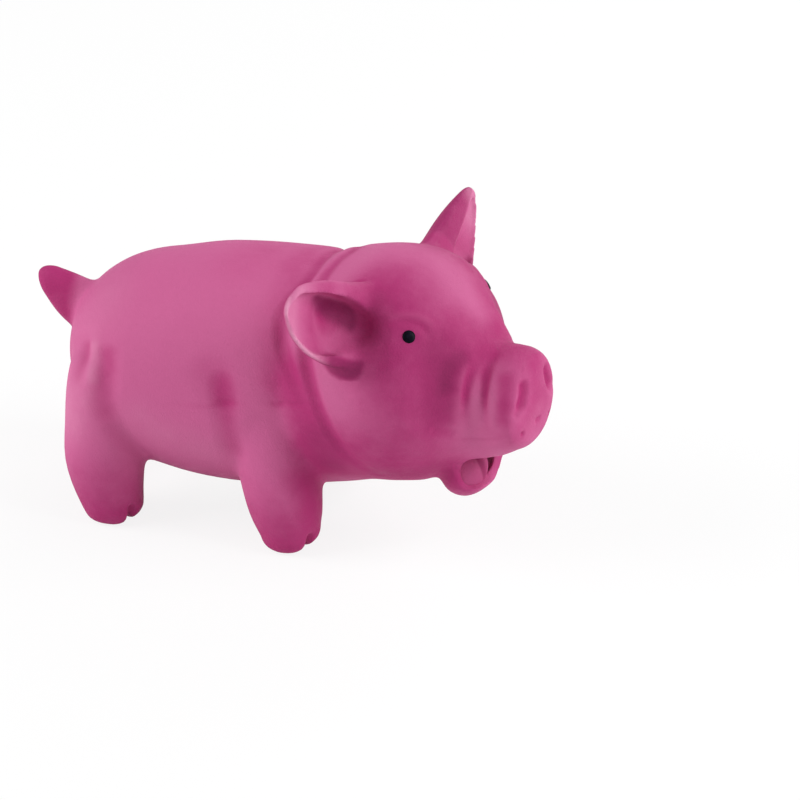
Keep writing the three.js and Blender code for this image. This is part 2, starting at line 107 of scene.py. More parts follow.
def set_camera():
    """The camera looks at the pig's middle, then turns until that is at its pixel."""
    back = Vector((
        math.sin(CAMERA_AZIMUTH) * math.cos(CAMERA_ELEVATION),
        -math.cos(CAMERA_AZIMUTH) * math.cos(CAMERA_ELEVATION),
        math.sin(CAMERA_ELEVATION),
    ))
    data = bpy.data.cameras.new("camera")
    data.sensor_width = 36
    data.lens = LENS_PIXELS * data.sensor_width / IMAGE
    data.clip_start, data.clip_end = 0.05, 20
    camera = bpy.data.objects.new("camera", data)
    scene.collection.objects.link(camera)
    camera.location = PIG_MIDDLE + back * CAMERA_DISTANCE
    camera.rotation_mode = "QUATERNION"
    turn = pixel_ray(*PIG_MIDDLE_PIXEL).rotation_difference(Vector((0, 0, -1)))
    camera.rotation_quaternion = (-back).to_track_quat("-Z", "Y") @ turn
    scene.camera = camera
    return camera


camera = set_camera()


def sight_line(px, py):
    """The direction in which the camera sees a pixel of the picture."""
    return camera.rotation_quaternion @ pixel_ray(px, py)


# Forms drawn out ring by ring

class Ring:
    """An oval with its own half width, and half heights above and below its middle.

    A skewed one is deeper to one side."""

    def __init__(self, centre, across, rise, wide, up, down, skew=0.0):
        self.centre, self.across, self.rise = Vector(centre), Vector(across), Vector(rise)
        self.wide, self.up, self.down, self.skew = wide * MM, up * MM, down * MM, skew

    def point(self, u, v):
        tall = self.up if v > 0 else self.down * (1 + self.skew * u)
        return self.centre + self.across * (u * self.wide) + self.rise * (v * tall)


def eased(keys, at):
    """Values on a smooth curve through the keys, which are rows that start with their place."""
    keys, at = np.array(keys, float), np.asarray(at, float)
    x, values = keys[:, 0], keys[:, 1:]
    slopes = np.gradient(values, x, axis=0)
    i = np.clip(np.searchsorted(x, at) - 1, 0, len(x) - 2)
    step = (x[i + 1] - x[i])[:, None]
    t = (np.clip(at, x[0], x[-1]) - x[i])[:, None] / step
    return (
        (2 * t**3 - 3 * t**2 + 1) * values[i]
        + (t**3 - 2 * t**2 + t) * step * slopes[i]
        + (3 * t**2 - 2 * t**3) * values[i + 1]
        + (t**3 - t**2) * step * slopes[i + 1]
    )


def rounded(near, dome):
    """How wide a domed end is at a distance from its tip."""
    return math.sqrt(max(1 - (1 - near / dome) ** 2, 0.0004)) if near < dome else 1


def crowded(count, start, end):
    """Shares of a form's length, closer together at a domed start or end."""
    shares = np.linspace(0, 1, count)
    if start and end:
        return (1 - np.cos(np.pi * shares)) / 2
    if start:
        return 1 - np.cos(np.pi / 2 * shares)
    return np.sin(np.pi / 2 * shares) if end else shares


def fade(values, start, end):
    """0 up to the start, 1 from the end on; the end may lie below the start."""
    return np.clip((values - start) / (end - start), 0, 1)


def peak(values, middle, reach, top=0.0):
    """1 at the middle, and about it for a flat top, down to 0 at the reach."""
    return np.clip(1 + top - np.abs(values - middle) / reach, 0, 1)


def deselect():
    if bpy.context.object and bpy.context.object.mode != "OBJECT":
        bpy.ops.object.mode_set(mode="OBJECT")
    bpy.ops.object.select_all(action="DESELECT")


def pick(*objects):
    deselect()
    for obj in objects:
        obj.select_set(True)
    bpy.context.view_layer.objects.active = objects[0]


def face_outwards():
    """Ends an edit with every face of the form pointing out."""
    bpy.ops.mesh.select_all(action="SELECT")
    bpy.ops.mesh.normals_make_consistent(inside=False)
    bpy.ops.object.mode_set(mode="OBJECT")


def shade_smooth(obj):
    pick(obj)
    bpy.ops.object.shade_smooth()


def drawn_out(name, rings, sides=40):
    """A closed form: a filled circle laid on the first ring and extruded to each of the others."""
    deselect()
    bpy.ops.mesh.primitive_circle_add(vertices=sides, radius=1, fill_type="NGON", enter_editmode=True)
    obj = bpy.context.object
    obj.name = obj.data.name = name
    mesh = bmesh.from_edit_mesh(obj.data)
    unit = mesh.verts.layers.float_vector.new("unit")
    for vert in mesh.verts:
        vert[unit] = vert.co
        vert.co = rings[0].point(vert.co.x, vert.co.y)
    bmesh.update_edit_mesh(obj.data)
    for ring in rings[1:]:
        bpy.ops.mesh.extrude_region_move()
        mesh = bmesh.from_edit_mesh(obj.data)
        unit = mesh.verts.layers.float_vector["unit"]
        for vert in mesh.verts:
            if vert.select:
                vert.co = ring.point(vert[unit].x, vert[unit].y)
        bmesh.update_edit_mesh(obj.data)
    face_outwards()
    return obj


def ball(name, centre, sizes, turn=0.0, fullness=1.0):
    """A stretched ball, its sizes along, across and up; below 1 its corners are fuller."""
    deselect()
    bpy.ops.mesh.primitive_uv_sphere_add(segments=40, ring_count=24, radius=1, location=centre)
    obj = bpy.context.object
    obj.name = obj.data.name = name
    for vert in obj.data.vertices:
        vert.co = [math.copysign(abs(value) ** fullness, value) for value in vert.co]
    obj.scale = [size * MM for size in sizes]
    obj.rotation_euler.z = -turn
    bpy.ops.object.transform_apply(location=True, rotation=True, scale=True)
    return obj


def apply_modifier(obj, kind, **settings):
    pick(obj)
    modifier = obj.modifiers.new(kind.lower(), kind)
    for key, value in settings.items():
        setattr(modifier, key, value)
    bpy.ops.object.modifier_apply(modifier=modifier.name)


def cut(obj, tool, operation="DIFFERENCE"):
    """Joins the tool's form to the object or cuts it away, and removes the tool."""
    apply_modifier(obj, "BOOLEAN", object=tool, operation=operation, solver="EXACT")
    bpy.data.objects.remove(tool)


# Torso, from the rump to a little way into the head

TORSO = [  # x, height of the middle, half width, up, down
    (RUMP_X, 60, 35, 35.4, 36),
    (-30, 57, 41, 39.5, 37.6),
    (0, 57.5, 43.5, 45.6, 43.2),
    (24, 61, 43.5, 44, 45.8),
    (NECK_X, 64.5, 40.5, 40.4, 46.6),
    (NECK_X + 8, 66, 37, 36.5, 43),
]
RUMP_DOME = 35
BEND_START = 12  # from here on the torso turns towards the head


def torso_form():
    ends = TORSO[0][0], TORSO[-1][0]
    places = ends[0] + (ends[1] - ends[0]) * crowded(34, True, False)
    rings = []
    for x, (z, wide, up, down) in zip(places, eased(TORSO, places)):
        yaw = -HEAD_TURN / 2 * np.clip((x - BEND_START) / (NECK_X - BEND_START), 0, 1)
        across = (-math.sin(yaw), math.cos(yaw), 0)
        size = rounded(x - RUMP_X, RUMP_DOME)
        rings.append(Ring(pig_place(x, 0, z), across, (0, 0, 1), wide * size, up * size, down * size))
    return drawn_out("torso", rings, 56)


# Head, from a little way inside the torso to the flat of the snout

HEAD = [  # x from the neck, height of the middle, half width, up, down
    (-8, 63, 36, 37, 43),
    (0.3, 64.5, 40.5, 42.2, 46.6),
    (14, 69, 42, 42.6, 47.4),
    (28, 71, 42.5, 43.6, 44),
    (40, 71.5, 41.2, 42.2, 41.5),
    (50, 71.5, 36.4, 35.8, 38),
    (58, 71.5, 29.6, 28.6, 31.2),
    (63.5, 71, 23.4, 23, 28),
    (68, 70.2, 17.8, 19, 25.4),
    (74, 69.8, 17.2, 19.2, 22),
    (79, 69.7, 17.4, 19.2, 18.2),
    (82.5, 69.5, 15.8, 17.2, 15.4),
    (84, 69.5, 12.8, 14.4, 13.2),
]
SNOUT_LEAN = math.radians(2.5)
LEAN_START, LEAN_OVER = 66, 14
SNOUT_SWELL, SNOUT_FLAT = 0.0008, (7, 8, 8)  # how far the snout's flat swells, its half width, up, down
head_ahead = Vector((math.cos(HEAD_TURN), -math.sin(HEAD_TURN), 0))
head_left = Vector((math.sin(HEAD_TURN), math.cos(HEAD_TURN), 0))


def head_form():
    """The rings lean a little at the snout, whose foot stands further out than its top."""
    places = HEAD[0][0] + (HEAD[-1][0] - HEAD[0][0]) * crowded(52, False, True)
    rings = []
    for x, (z, wide, up, down) in zip(places, eased(HEAD, places)):
        lean = SNOUT_LEAN * np.clip((x - LEAN_START) / LEAN_OVER, 0, 1)
        rise = Vector((0, 0, 1)) * math.cos(lean) - head_ahead * math.sin(lean)
        rings.append(Ring(head_place(x, 0, z), head_left, rise, wide, up, down))
    face = rings[-1]
    rings.append(Ring(face.centre + head_ahead * SNOUT_SWELL, face.across, face.rise, *SNOUT_FLAT))
    return drawn_out("head", rings, 56)


# Legs: oval rings up from the sole

FRONT_FOOT_X, REAR_FOOT_X = NECK_X - 6, RUMP_X + 25.5
FRONT_LEG = [  # height, ahead of the foot, out from the middle, half width, fore, aft
    (SOLE_Z, -0.6, 30, 8.2, 3.4, 7.4),
    (3.6, -0.1, 30, 10.2, 6.4, 9.6),
    (6.4, 0.4, 30, 11.7, 9.4, 11.2),
    (12, -0.7, 30, 12.6, 11.9, 13.2),
    (24, -2.5, 30, 14, 14, 15.5),
    (38, -5, 28.5, 14.6, 15, 16.5),
    (50, -7.5, 26.5, 16.2, 17, 18),
    (64, -10, 22, 19, 18, 19),
]
REAR_LEG = [
    (SOLE_Z, 0, 30, 8.4, 5, 7.4),
    (3.4, 0.2, 30, 10.4, 8, 9.6),
    (6, 0.3, 30, 11.8, 10.4, 11.2),
    (12, -0.7, 30, 12.6, 11.8, 13.2),
    (24, -2.5, 30, 14, 14.4, 15),
    (40, -2.5, 28.5, 15, 16.5, 15.5),
    (55, -1, 25, 17, 19, 17),
    (72, 1, 19, 18.5, 19, 17),
]
HIP_ROUND = 9


def leg_form(name, leg, foot_x, side):
    heights = leg[0][0] + (leg[-1][0] - leg[0][0]) * crowded(24, True, True)
    rings = []
    for z, (ahead, out, wide, fore, aft) in zip(heights, eased(leg, heights)):
        size = rounded(leg[-1][0] - z, HIP_ROUND)
        centre = pig_place(foot_x + ahead, side * out, z)
        rings.append(Ring(centre, (0, 1, 0), (1, 0, 0), wide * size, fore * size, aft * size))
    return drawn_out(name, rings, 36)


# Tail

TAIL_ROOT = (RUMP_X + 3.5, 0, 72.5)
TAIL_RISE = math.radians(24)
TAIL = [  # along the tail, height, half width, up, down
    (-6, 0, 6.5, 9, 10),
    (0, 0, 6.5, 10, 11),
    (7.4, 0, 6, 9.2, 9),
    (14.7, 1, 5.2, 6.6, 5.4),
    (21, 2.8, 4.4, 4.2, 3.4),
]
TAIL_DOME = 6
tail_along = Vector((-math.cos(TAIL_RISE), 0, math.sin(TAIL_RISE)))
tail_rise = Vector((math.sin(TAIL_RISE), 0, math.cos(TAIL_RISE)))


def tail_form():
    places = TAIL[0][0] + (TAIL[-1][0] - TAIL[0][0]) * crowded(18, False, True)
    rings = []
    for x, (z, wide, up, down) in zip(places, eased(TAIL, places)):
        size = rounded(TAIL[-1][0] - x, TAIL_DOME)
        centre = pig_place(*TAIL_ROOT) + (tail_along * x + tail_rise * z) * MM
        rings.append(Ring(centre, (0, 1, 0), tail_rise, wide * size, up * size, down * size))
    return drawn_out("tail", rings, 28)


# Ears: hoods with a thick roof and a thin lower edge, hollow in front, the hollow running into the head

EAR_ROOT = Vector((30, 31, 97))
EAR_REACH = Vector((-9.2, 34, 16.8))
EAR_FACING = Vector((0.949, 0.137, 0.284))
EAR = [  # share of its length, lower edge, upper edge, front, back
    (-0.1, -15, 16.5, 3, 12),
    (0, -16, 16.2, 3, 12),
    (0.25, -16.2, 14.2, 2.6, 11.6),
    (0.5, -15, 13, 2.2, 9),
    (0.7, -12.8, 11.2, 1.7, 6.2),
    (0.85, -9.4, 9, 1.3, 4),
    (1, -4.6, 4.8, 1, 2.4),
]
EAR_HOLLOW = [  # share of its length, lower edge, upper edge of the right one, of the left one, depth
    (-0.08, -6.5, 5, 2, 1),
    (0.06, -8.4, 6.6, 3, 4.6),
    (0.2, -10.4, 8, 4, 7.2),
    (0.32, -11.8, 8.6, 4.6, 7.4),
    (0.45, -12.8, 8.6, 4.6, 6.2),
    (0.57, -13, 8.2, 4.4, 4.6),
    (0.7, -11.3, 7.2, 4, 3.2),
    (0.85, -7.9, 5.6, 3.2, 1.9),
    (0.965, -4.1, 2.4, 1.5, 1.1),
]
EAR_DOME, HOLLOW_DOMES = 5, (6, 7)  # how far in from its ends a form is rounded
HOLLOW_FRONT, HOLLOW_SKEW = 9, 0.5  # the hollow's tool stands out in front, and is deeper under the roof
EAR_TWIST = math.radians(14)  # of the left ear, at its tip
ear_long = EAR_REACH.length
ear_along = EAR_REACH.normalized()
ear_across = EAR_FACING.cross(ear_along).normalized()
ear_face = ear_along.cross(ear_across)


def ear_axes(side):
    """The ear's root and its three directions, for the left ear or, mirrored, the right one."""
    axes = []
    for axis in (ear_along, ear_across, ear_face):
        turned = head_place(axis.x, side * axis.y, axis.z) - head_place(0, 0, 0)
        axes.append(turned / MM)
    return head_place(EAR_ROOT.x, side * EAR_ROOT.y, EAR_ROOT.z), *axes


def ear_offsets(places, side):
    """Where places lie on an ear: the share of its length, and how far up and in front, in millimetres."""
    root, *axes = (np.array(axis) for axis in ear_axes(side))
    along, up, front = ((places - root) @ np.stack(axes).T / MM).T
    return along / ear_long, up, front


def ear_rings(side, keys, start_dome, end_dome, count, skew=0.0):
    """Rings of the ear or of its hollow: the rows give the edges, then how far it goes to the front and back.

    In the photo the left ear is twisted a little towards its tip."""
    root, along, across, face = ear_axes(side)
    first, last = keys[0][0], keys[-1][0]
    shares = first + (last - first) * crowded(count, start_dome > 0, True)
    rings = []
    for share, (lower, upper, front, back) in zip(shares, eased(keys, shares)):
        size = rounded((last - share) * ear_long, end_dome)
        if start_dome:
            size *= rounded((share - first) * ear_long, start_dome)
        twist = Quaternion(along, EAR_TWIST * np.clip(share, 0, 1) if side > 0 else 0)
        centre = root + (along * (share * ear_long) + twist @ across * ((upper + lower) / 2)) * MM
        wide = (upper - lower) / 2
        rings.append(Ring(centre, twist @ across, twist @ face, wide * size, front * size, back * size, skew))
    return rings


def ear_hollow(side):
    """The tool that hollows an ear and the head behind it."""
    rows = []
    for share, lower, right_upper, left_upper, depth in EAR_HOLLOW:
        rows.append((share, lower, left_upper if side > 0 else right_upper, HOLLOW_FRONT, depth))
    return drawn_out("ear_hollow", ear_rings(side, rows, *HOLLOW_DOMES, 24, HOLLOW_SKEW), 36)


def ear_form(name, side):
    ear = drawn_out(name, ear_rings(side, EAR, 0, EAR_DOME, 26), 48)
    cut(ear, ear_hollow(side))
    return ear


# Mouth: a scoop of a lower lip under the muzzle, its edge level in front and steep at the sides

JAW = (60.6, 40.8, (11, 14.5, 13.8))  # x, z, half sizes along, across and up
POCKET = (60.5, 39.5, (5.2, 10.4, 5.8))
PALATE = (58.5, 44.5, (7.5, 10, 4))
JAW_SLANT, JAW_FLARE = 0.24, 0.16
CHIN_FULLNESS, POCKET_FULLNESS = 0.88, 0.9
LIP_EDGE = [(62.4, 34.2), (84, 33), (84, 64), (50, 64), (59.6, 50)]  # x, z of what is open above the lip
LIP_SETBACK, LIP_NEAR_SIDE = 3.5, -30
LIP_ACROSS, LIP_ASLANT = 0.06, 0.012  # metres from the near side to the far one, and forward over that


def lip_opening():
    """A wedge: its outline filled and drawn out across the head, a little aslant, as the mouth is."""
    deselect()
    bpy.ops.mesh.primitive_circle_add(vertices=len(LIP_EDGE), radius=1, fill_type="NGON", enter_editmode=True)
    obj = bpy.context.object
    mesh = bmesh.from_edit_mesh(obj.data)
    mesh.verts.ensure_lookup_table()
    for vert, (x, z) in zip(mesh.verts, LIP_EDGE):
        vert.co = head_place(x - LIP_SETBACK, LIP_NEAR_SIDE, z)
    bmesh.update_edit_mesh(obj.data)
    far_side = head_left * LIP_ACROSS + head_ahead * LIP_ASLANT
    bpy.ops.mesh.extrude_region_move(TRANSFORM_OT_translate={"value": far_side})
    face_outwards()
    return obj


def mouth_form(head):
    """The chin's scoop joined to the head, and the roof of the mouth cut out above it."""
    x, z, sizes = JAW
    chin = ball("chin", head_place(x, 0, z), sizes, HEAD_TURN, CHIN_FULLNESS)
    middle = head_place(x, 0, z)
    for vert in chin.data.vertices:
        off = vert.co - middle
        flare = JAW_FLARE * off.z / (sizes[2] * MM)
        along, aside = off.dot(head_ahead), off.dot(head_left)
        vert.co += head_ahead * (along * flare + off.z * JAW_SLANT) + head_left * (aside * flare)
    cut(chin, lip_opening())
    x, z, sizes = POCKET
    cut(chin, ball("pocket", head_place(x, 0, z), sizes, HEAD_TURN, POCKET_FULLNESS))
    x, z, sizes = PALATE
    cut(head, ball("palate", head_place(x, 0, z), sizes, HEAD_TURN))
    return chin


# Belly hole with a seat for the flange of the squeaker's plug

FLANGE_R, HOLE_R = 9.6, 6.5
FLANGE_DEEP, HOLE_DEEP = 1.5, 18
DRILL_LONG = 0.05


def belly_hole(torso):
    for radius, deep in ((FLANGE_R, FLANGE_DEEP), (HOLE_R, HOLE_DEEP)):
        deselect()
        bpy.ops.mesh.primitive_cylinder_add(vertices=48, radius=radius * MM, depth=DRILL_LONG)
        tool = bpy.context.object
        top = plug_low.z + deep * MM
        tool.location = BELLY_MIDDLE.x, BELLY_MIDDLE.y, top - DRILL_LONG / 2
        bpy.ops.object.transform_apply(location=True, rotation=False, scale=False)
        cut(torso, tool)


# All the forms, each in its place

LEGS = {  # the rows of its rings, where its foot stands, its side
    "front_right_leg": (FRONT_LEG, FRONT_FOOT_X, -1),
    "front_left_leg": (FRONT_LEG, FRONT_FOOT_X, 1),
    "rear_right_leg": (REAR_LEG, REAR_FOOT_X, -1),
    "rear_left_leg": (REAR_LEG, REAR_FOOT_X, 1),
}
EARS = {"right_ear": -1, "left_ear": 1}
forms = {"torso": torso_form(), "head": head_form()}
for leg, (rows, foot_x, side) in LEGS.items():
    forms[leg] = leg_form(leg + "_form", rows, foot_x, side)
forms["tail"] = tail_form()
for ear, side in EARS.items():
    forms[ear] = ear_form(ear + "_form", side)
forms["jaw"] = mouth_form(forms["head"])
for side in EARS.values():
    cut(forms["head"], ear_hollow(side))
belly_hole(forms["torso"])
PARTS = list(forms)


def tree_of(*objects):
    """A search tree of the objects' faces."""
    points, faces = [], []
    for obj in objects:
        start = len(points)
        points += [vert.co.copy() for vert in obj.data.vertices]
        faces += [[start + i for i in face.vertices] for face in obj.data.polygons]
    return BVHTree.FromPolygons(points, faces)


form_trees = {name: tree_of(obj) for name, obj in forms.items()}
form_boxes = {}
for name, obj in forms.items():
    corners = np.array([vert.co for vert in obj.data.vertices])
    form_boxes[name] = corners.min(0), corners.max(0)
SHOWN = ("torso", "head", "front_right_leg", "front_left_leg", "tail", "jaw")
shown_tree = tree_of(*[forms[name] for name in SHOWN])


# One skin over all the forms

VOXEL = 0.0007
pick(*forms.values())
bpy.ops.object.join()
skin = bpy.context.object
skin.name = skin.data.name = "skin"
apply_modifier(skin, "REMESH", mode="VOXEL", voxel_size=VOXEL)


def column(items, key, width=1, kind=float):
    """One property of all the items, as an array."""
    values = np.empty(len(items) * width, kind)
    items.foreach_get(key, values)
    return values.reshape(-1, width) if width > 1 else values


def places_of(obj):
    return column(obj.data.vertices, "co", 3)


def set_places(obj, places):
    obj.data.vertices.foreach_set("co", np.asarray(places).ravel())
    obj.data.update()


def normals_of(obj):
    return column(obj.data.vertex_normals, "vector", 3)


def paint(obj, coat, amounts):
    """A coat of paint, kept on the piece's points for its finish."""
    layer = obj.data.attributes.new(coat, "FLOAT", "POINT")
    layer.data.foreach_set("value", np.asarray(amounts, np.float32))


FAR, BOX_MARGIN = 0.03, 0.012


def distances(places):
    """How far each place is from each form, up to 30 mm."""
    found = {}
    for name, tree in form_trees.items():
        low, high = form_boxes[name]
        near = np.all((places > low - BOX_MARGIN) & (places < high + BOX_MARGIN), 1)
        found[name] = np.full(len(places), FAR)
        for i in np.flatnonzero(near):
            hit = tree.find_nearest(places[i], FAR)
            if hit[0]:
                found[name][i] = hit[3]
    return found


MELT_STEPS = 20


def smooth(obj, weights, times):
    """Melts the skin where the weights say, as a thumb would."""
    group = obj.vertex_groups.new(name="melt")
    levels = np.round(np.clip(weights, 0, 1) * MELT_STEPS).astype(int)
    for level in range(1, MELT_STEPS + 1):
        chosen = np.flatnonzero(levels == level)
        if len(chosen):
            group.add(chosen.tolist(), level / MELT_STEPS, "REPLACE")
    apply_modifier(obj, "SMOOTH", factor=0.5, iterations=times, vertex_group="melt")
    obj.vertex_groups.clear()


# Fillets where the forms meet: wide at the legs and the neck, tight at the ears, the tail and the lip

FILLET = {"torso": 11, "head": 11, "front_right_leg": 11, "front_left_leg": 11, "rear_right_leg": 13,
          "rear_left_leg": 13, "tail": 6, "right_ear": 6, "left_ear": 6, "jaw": 5}
FILLET_EASE = 0.7
ON_EAR = 0.001
raw_places = places_of(skin)
away = distances(raw_places)
reach = np.stack([away[name] / (FILLET[name] * MM) for name in FILLET], 1)
second = np.sort(reach, 1)[:, 1]
fillet = np.clip(1 - second, 0, 1)
ramp = np.zeros(len(raw_places))
for ear, side in EARS.items():
    share, up, front = ear_offsets(raw_places, side)
    fillet[(away[ear] < ON_EAR) & (share > 0.3)] = 0
    soft_root = peak(share, -0.02, 0.3) * (front > -6) * (front < 12) * (np.abs(up) < 17)
    fillet = np.maximum(fillet, soft_root)
    slope = peak(share, -0.06, 0.2, 0.6) * fade(up, 4, -1)
    ramp = np.maximum(ramp, slope * (up > -20) * (front > -10) * (front < 12))
smooth(skin, fillet**FILLET_EASE, times=90)
smooth(skin, ramp, times=240)
thin = np.minimum(away["right_ear"], away["left_ear"]) < ON_EAR
smooth(skin, np.where(thin, 0.5, 0.9), times=8)


# Working the skin: strokes that press in or raise it, with paint in them

class Clay:
    """The skin while it is worked: its places, the way out of it, and its coats of paint."""

    def __init__(self, obj):
        self.obj = obj
        self.places = places_of(obj)
        self.out = normals_of(obj)
        self.lift = np.zeros(len(self.places))
        # Coats: airbrush; a deep coat of darker magenta, partly painted shade; a pale coat, partly powder and
        # partly painted light.
        self.coats = {coat: np.zeros(len(self.places)) for coat in ("airbrush", "deep", "dust_and_painted_light")}
        self.tree = tree_of(obj)

    def near(self, path, radius, taper):
        """The points within a radius of a path, and how strongly a soft thumb would reach them."""
        box = np.all((self.places > path.min(0) - radius) & (self.places < path.max(0) + radius), 1)
        chosen = np.flatnonzero(box)
        places = self.places[chosen]
        nearest = np.full(len(chosen), np.inf)
        along = np.zeros(len(chosen))
        for i, (a, b) in enumerate(zip(path[:-1], path[1:])):
            step = b - a
            share = np.clip((places - a) @ step / max(step @ step, 1e-12), 0, 1)
            far = np.linalg.norm(places - a - share[:, None] * step, axis=1)
            along = np.where(far < nearest, (i + share) / (len(path) - 1), along)
            nearest = np.minimum(nearest, far)
        inside = nearest < radius
        strength = (1 - (nearest[inside] / radius) ** 2) ** 2
        if taper:
            ends = np.clip(np.minimum(along, 1 - along)[inside] / taper, 0, 1)
            strength *= 0.15 + 0.85 * ends * ends * (3 - 2 * ends)
        return chosen[inside], strength

    def stroke(self, path, radius, lift=0.0, taper=0.0, **coats):
        """Sizes are in millimetres; a coat's amount is a share of what is still bare."""
        path = np.atleast_2d(path)
        if len(path) == 1:
            path = np.repeat(path, 2, 0)
        chosen, strength = self.near(path, radius * MM, taper)
        self.lift[chosen] += strength * lift * MM
        for coat, amount in coats.items():
            self.coats[coat][chosen] += (1 - self.coats[coat][chosen]) * strength * amount

    def settle(self, path):
        """The path laid on the skin."""
        return np.array([self.tree.find_nearest(place)[0] for place in path])

    def finish(self):
        set_places(self.obj, self.places + self.out * self.lift[:, None])
        for coat, amounts in self.coats.items():
            paint(self.obj, coat, np.clip(amounts, 0, 1))


def seen(px, py):
    """The place behind a pixel of the picture, on the pig without its ears and rear legs."""
    hit = shown_tree.ray_cast(camera.location, sight_line(px, py))[0]
    if hit is None:
        raise ValueError(f"nothing behind pixel {px}, {py}")
    return hit


def curve(places, count=24):
    """A smooth path through the places."""
    keys = [(i, *place) for i, place in enumerate(places)]
    return eased(keys, np.linspace(0, len(keys) - 1, count)) if len(keys) > 1 else np.array(places)


def mirrored(path, turn):
    """The path on the pig's other side: of the torso at no turn, of the head at the head's."""
    x, y, z = head_coords(path, turn).T
    return np.array([head_place(*place, turn) for place in zip(x, -y, z)])


clay = Clay(skin)

BROAD, FINE = 12, 3  # radii: a broad stroke has round ends, and a fine one fades out slowly
TAPER, FINE_TAPER = 0.2, 0.4


def on_both(pixels, turn, radius, lift=0.0, **coats):
    """A stroke along pixels of the picture, and the same one on the other side."""
    path = clay.settle(curve([seen(*pixel) for pixel in pixels]))
    taper = 0
    if len(pixels) > 2 and radius < BROAD:
        taper = FINE_TAPER if radius < FINE else TAPER
    for side in (path, clay.settle(mirrored(path, turn))):
        clay.stroke(side, radius, lift, taper, **coats)


TOP_SHARE = 0.3  # of a neck stroke's lift, for the way over the top
TOP_TAPER, SIDE_TAPER = 0.15, 0.25


def round_neck(pixels, radius, lift=0.0, **coats):
    """A stroke from the nape down the near side and the same on the far side, shallow over the top."""
    path = curve([seen(*pixel) for pixel in pixels])
    for _ in range(6):
        path[1:-1] = (path[:-2] + 2 * path[1:-1] + path[2:]) / 4
    path = path[head_coords(path, HEAD_TURN / 2)[:, 1] < -1]
    other = mirrored(path, HEAD_TURN / 2)
    over = clay.settle(np.concatenate([other[::-1], path]))
    clay.stroke(over, radius, lift * TOP_SHARE, TOP_TAPER, **coats)
    for side in (path, other):
        clay.stroke(clay.settle(side[3:]), radius, lift * (1 - TOP_SHARE), SIDE_TAPER)


# Strokes by name: pixels of the picture that they run through, radius, lift, coats of paint

NECK_STROKES = {
    "groove behind the ears": (
        [(335, 251), (322, 263), (313, 277), (297, 295), (283, 312), (280, 326), (284, 351), (296, 384),
         (311, 408)], 4.2, -1.0, {"airbrush": 0.5}),
    "groove under the ears": (
        [(350, 252), (337, 260), (329, 272), (312, 300), (305, 330), (306, 351), (308, 368), (313, 387),
         (326, 426), (342, 450), (361, 466), (378, 474)], 4.2, -1.2, {"airbrush": 0.6}),
    "roll between the grooves": (
        [(342, 252), (330, 261), (321, 275), (303, 300), (293, 330), (296, 355), (304, 386), (318, 417)],
        4, 0.5, {}),
    "flush behind the grooves": (
        [(306, 262), (293, 285), (272, 320), (274, 350), (285, 384)], 11, 0, {"airbrush": 0.3}),
    "swell of the cheek": (
        [(362, 260), (352, 268), (335, 300), (322, 350), (330, 390), (345, 430)], 9, 0.5, {"dust_and_painted_light": 0.15}),
}
BODY_STROKES = {
    "hollow of the armpit": ([(215, 376), (222, 396)], 12, -0.6, {"airbrush": 0.3}),
    "pit of the armpit": ([(221, 385), (223, 396)], 7, -0.6, {"airbrush": 0.6}),
    "crease behind the front leg": ([(222, 396), (226, 420), (236, 462)], 7, -0.8, {"airbrush": 0.5}),
    "crease of the thigh": ([(107, 338), (107, 366), (104, 396), (110, 420)], 8, -0.3, {"airbrush": 0.5}),
    "crease down to the belly": (
        [(106, 404), (114, 424), (128, 442), (152, 458)], 7, -0.3, {"airbrush": 0.3}),
    "hollow of the thigh": ([(107, 342), (107, 366), (104, 396), (109, 420)], 7.5, -0.5, {}),
    "groove of the rump": ([(86, 336), (87, 360), (88, 388)], 5, -0.6, {"airbrush": 0.45}),
    "ridge of the rump": ([(95, 336), (96, 362), (97, 388)], 4.5, 0.6, {"dust_and_painted_light": 0.25}),
    "seam on the belly": (
        [(140, 408), (176, 405), (205, 407), (236, 405), (262, 404)], 1.6, -0.14, {"airbrush": 0.16}),
    "seam on the shoulder": ([(262, 404), (290, 405), (318, 403)], 1.6, -0.25, {"airbrush": 0.3}),
    "nick in the seam": ([(270, 399), (277, 406), (285, 402)], 1.8, -0.25, {"airbrush": 0.25}),
    "scuff on the flank": ([(213, 291), (240, 293), (268, 292)], 1.6, 0, {"dust_and_painted_light": 0.1}),
    "flush of the chest": ([(290, 380), (308, 425), (318, 460), (314, 520)], 17, 0, {"airbrush": 0.9}),
    "flush of the throat": ([(344, 466), (372, 476)], 22, 0, {"airbrush": 0.7}),
    "flush of the back": ([(240, 262), (262, 258), (280, 262)], 20, 0, {"airbrush": 0.25}),
    # Painted light: a pale coat on the belly, the rump and the thigh, where light falls.
    "painted light on the belly": ([(140, 425), (170, 440), (205, 450)], 20, 0, {"dust_and_painted_light": 0.22}),
    "painted light on the rump": ([(110, 296), (92, 318)], 22, 0, {"dust_and_painted_light": 0.2}),
    "painted light on the thigh": ([(88, 396), (92, 410)], 22, 0, {"dust_and_painted_light": 0.34}),
    "shade of the throat": ([(318, 438), (330, 462)], 13, 0, {"deep": 0.4}),
    "shade of the front leg": ([(280, 470)], 16, 0, {"deep": 0.15}),
}
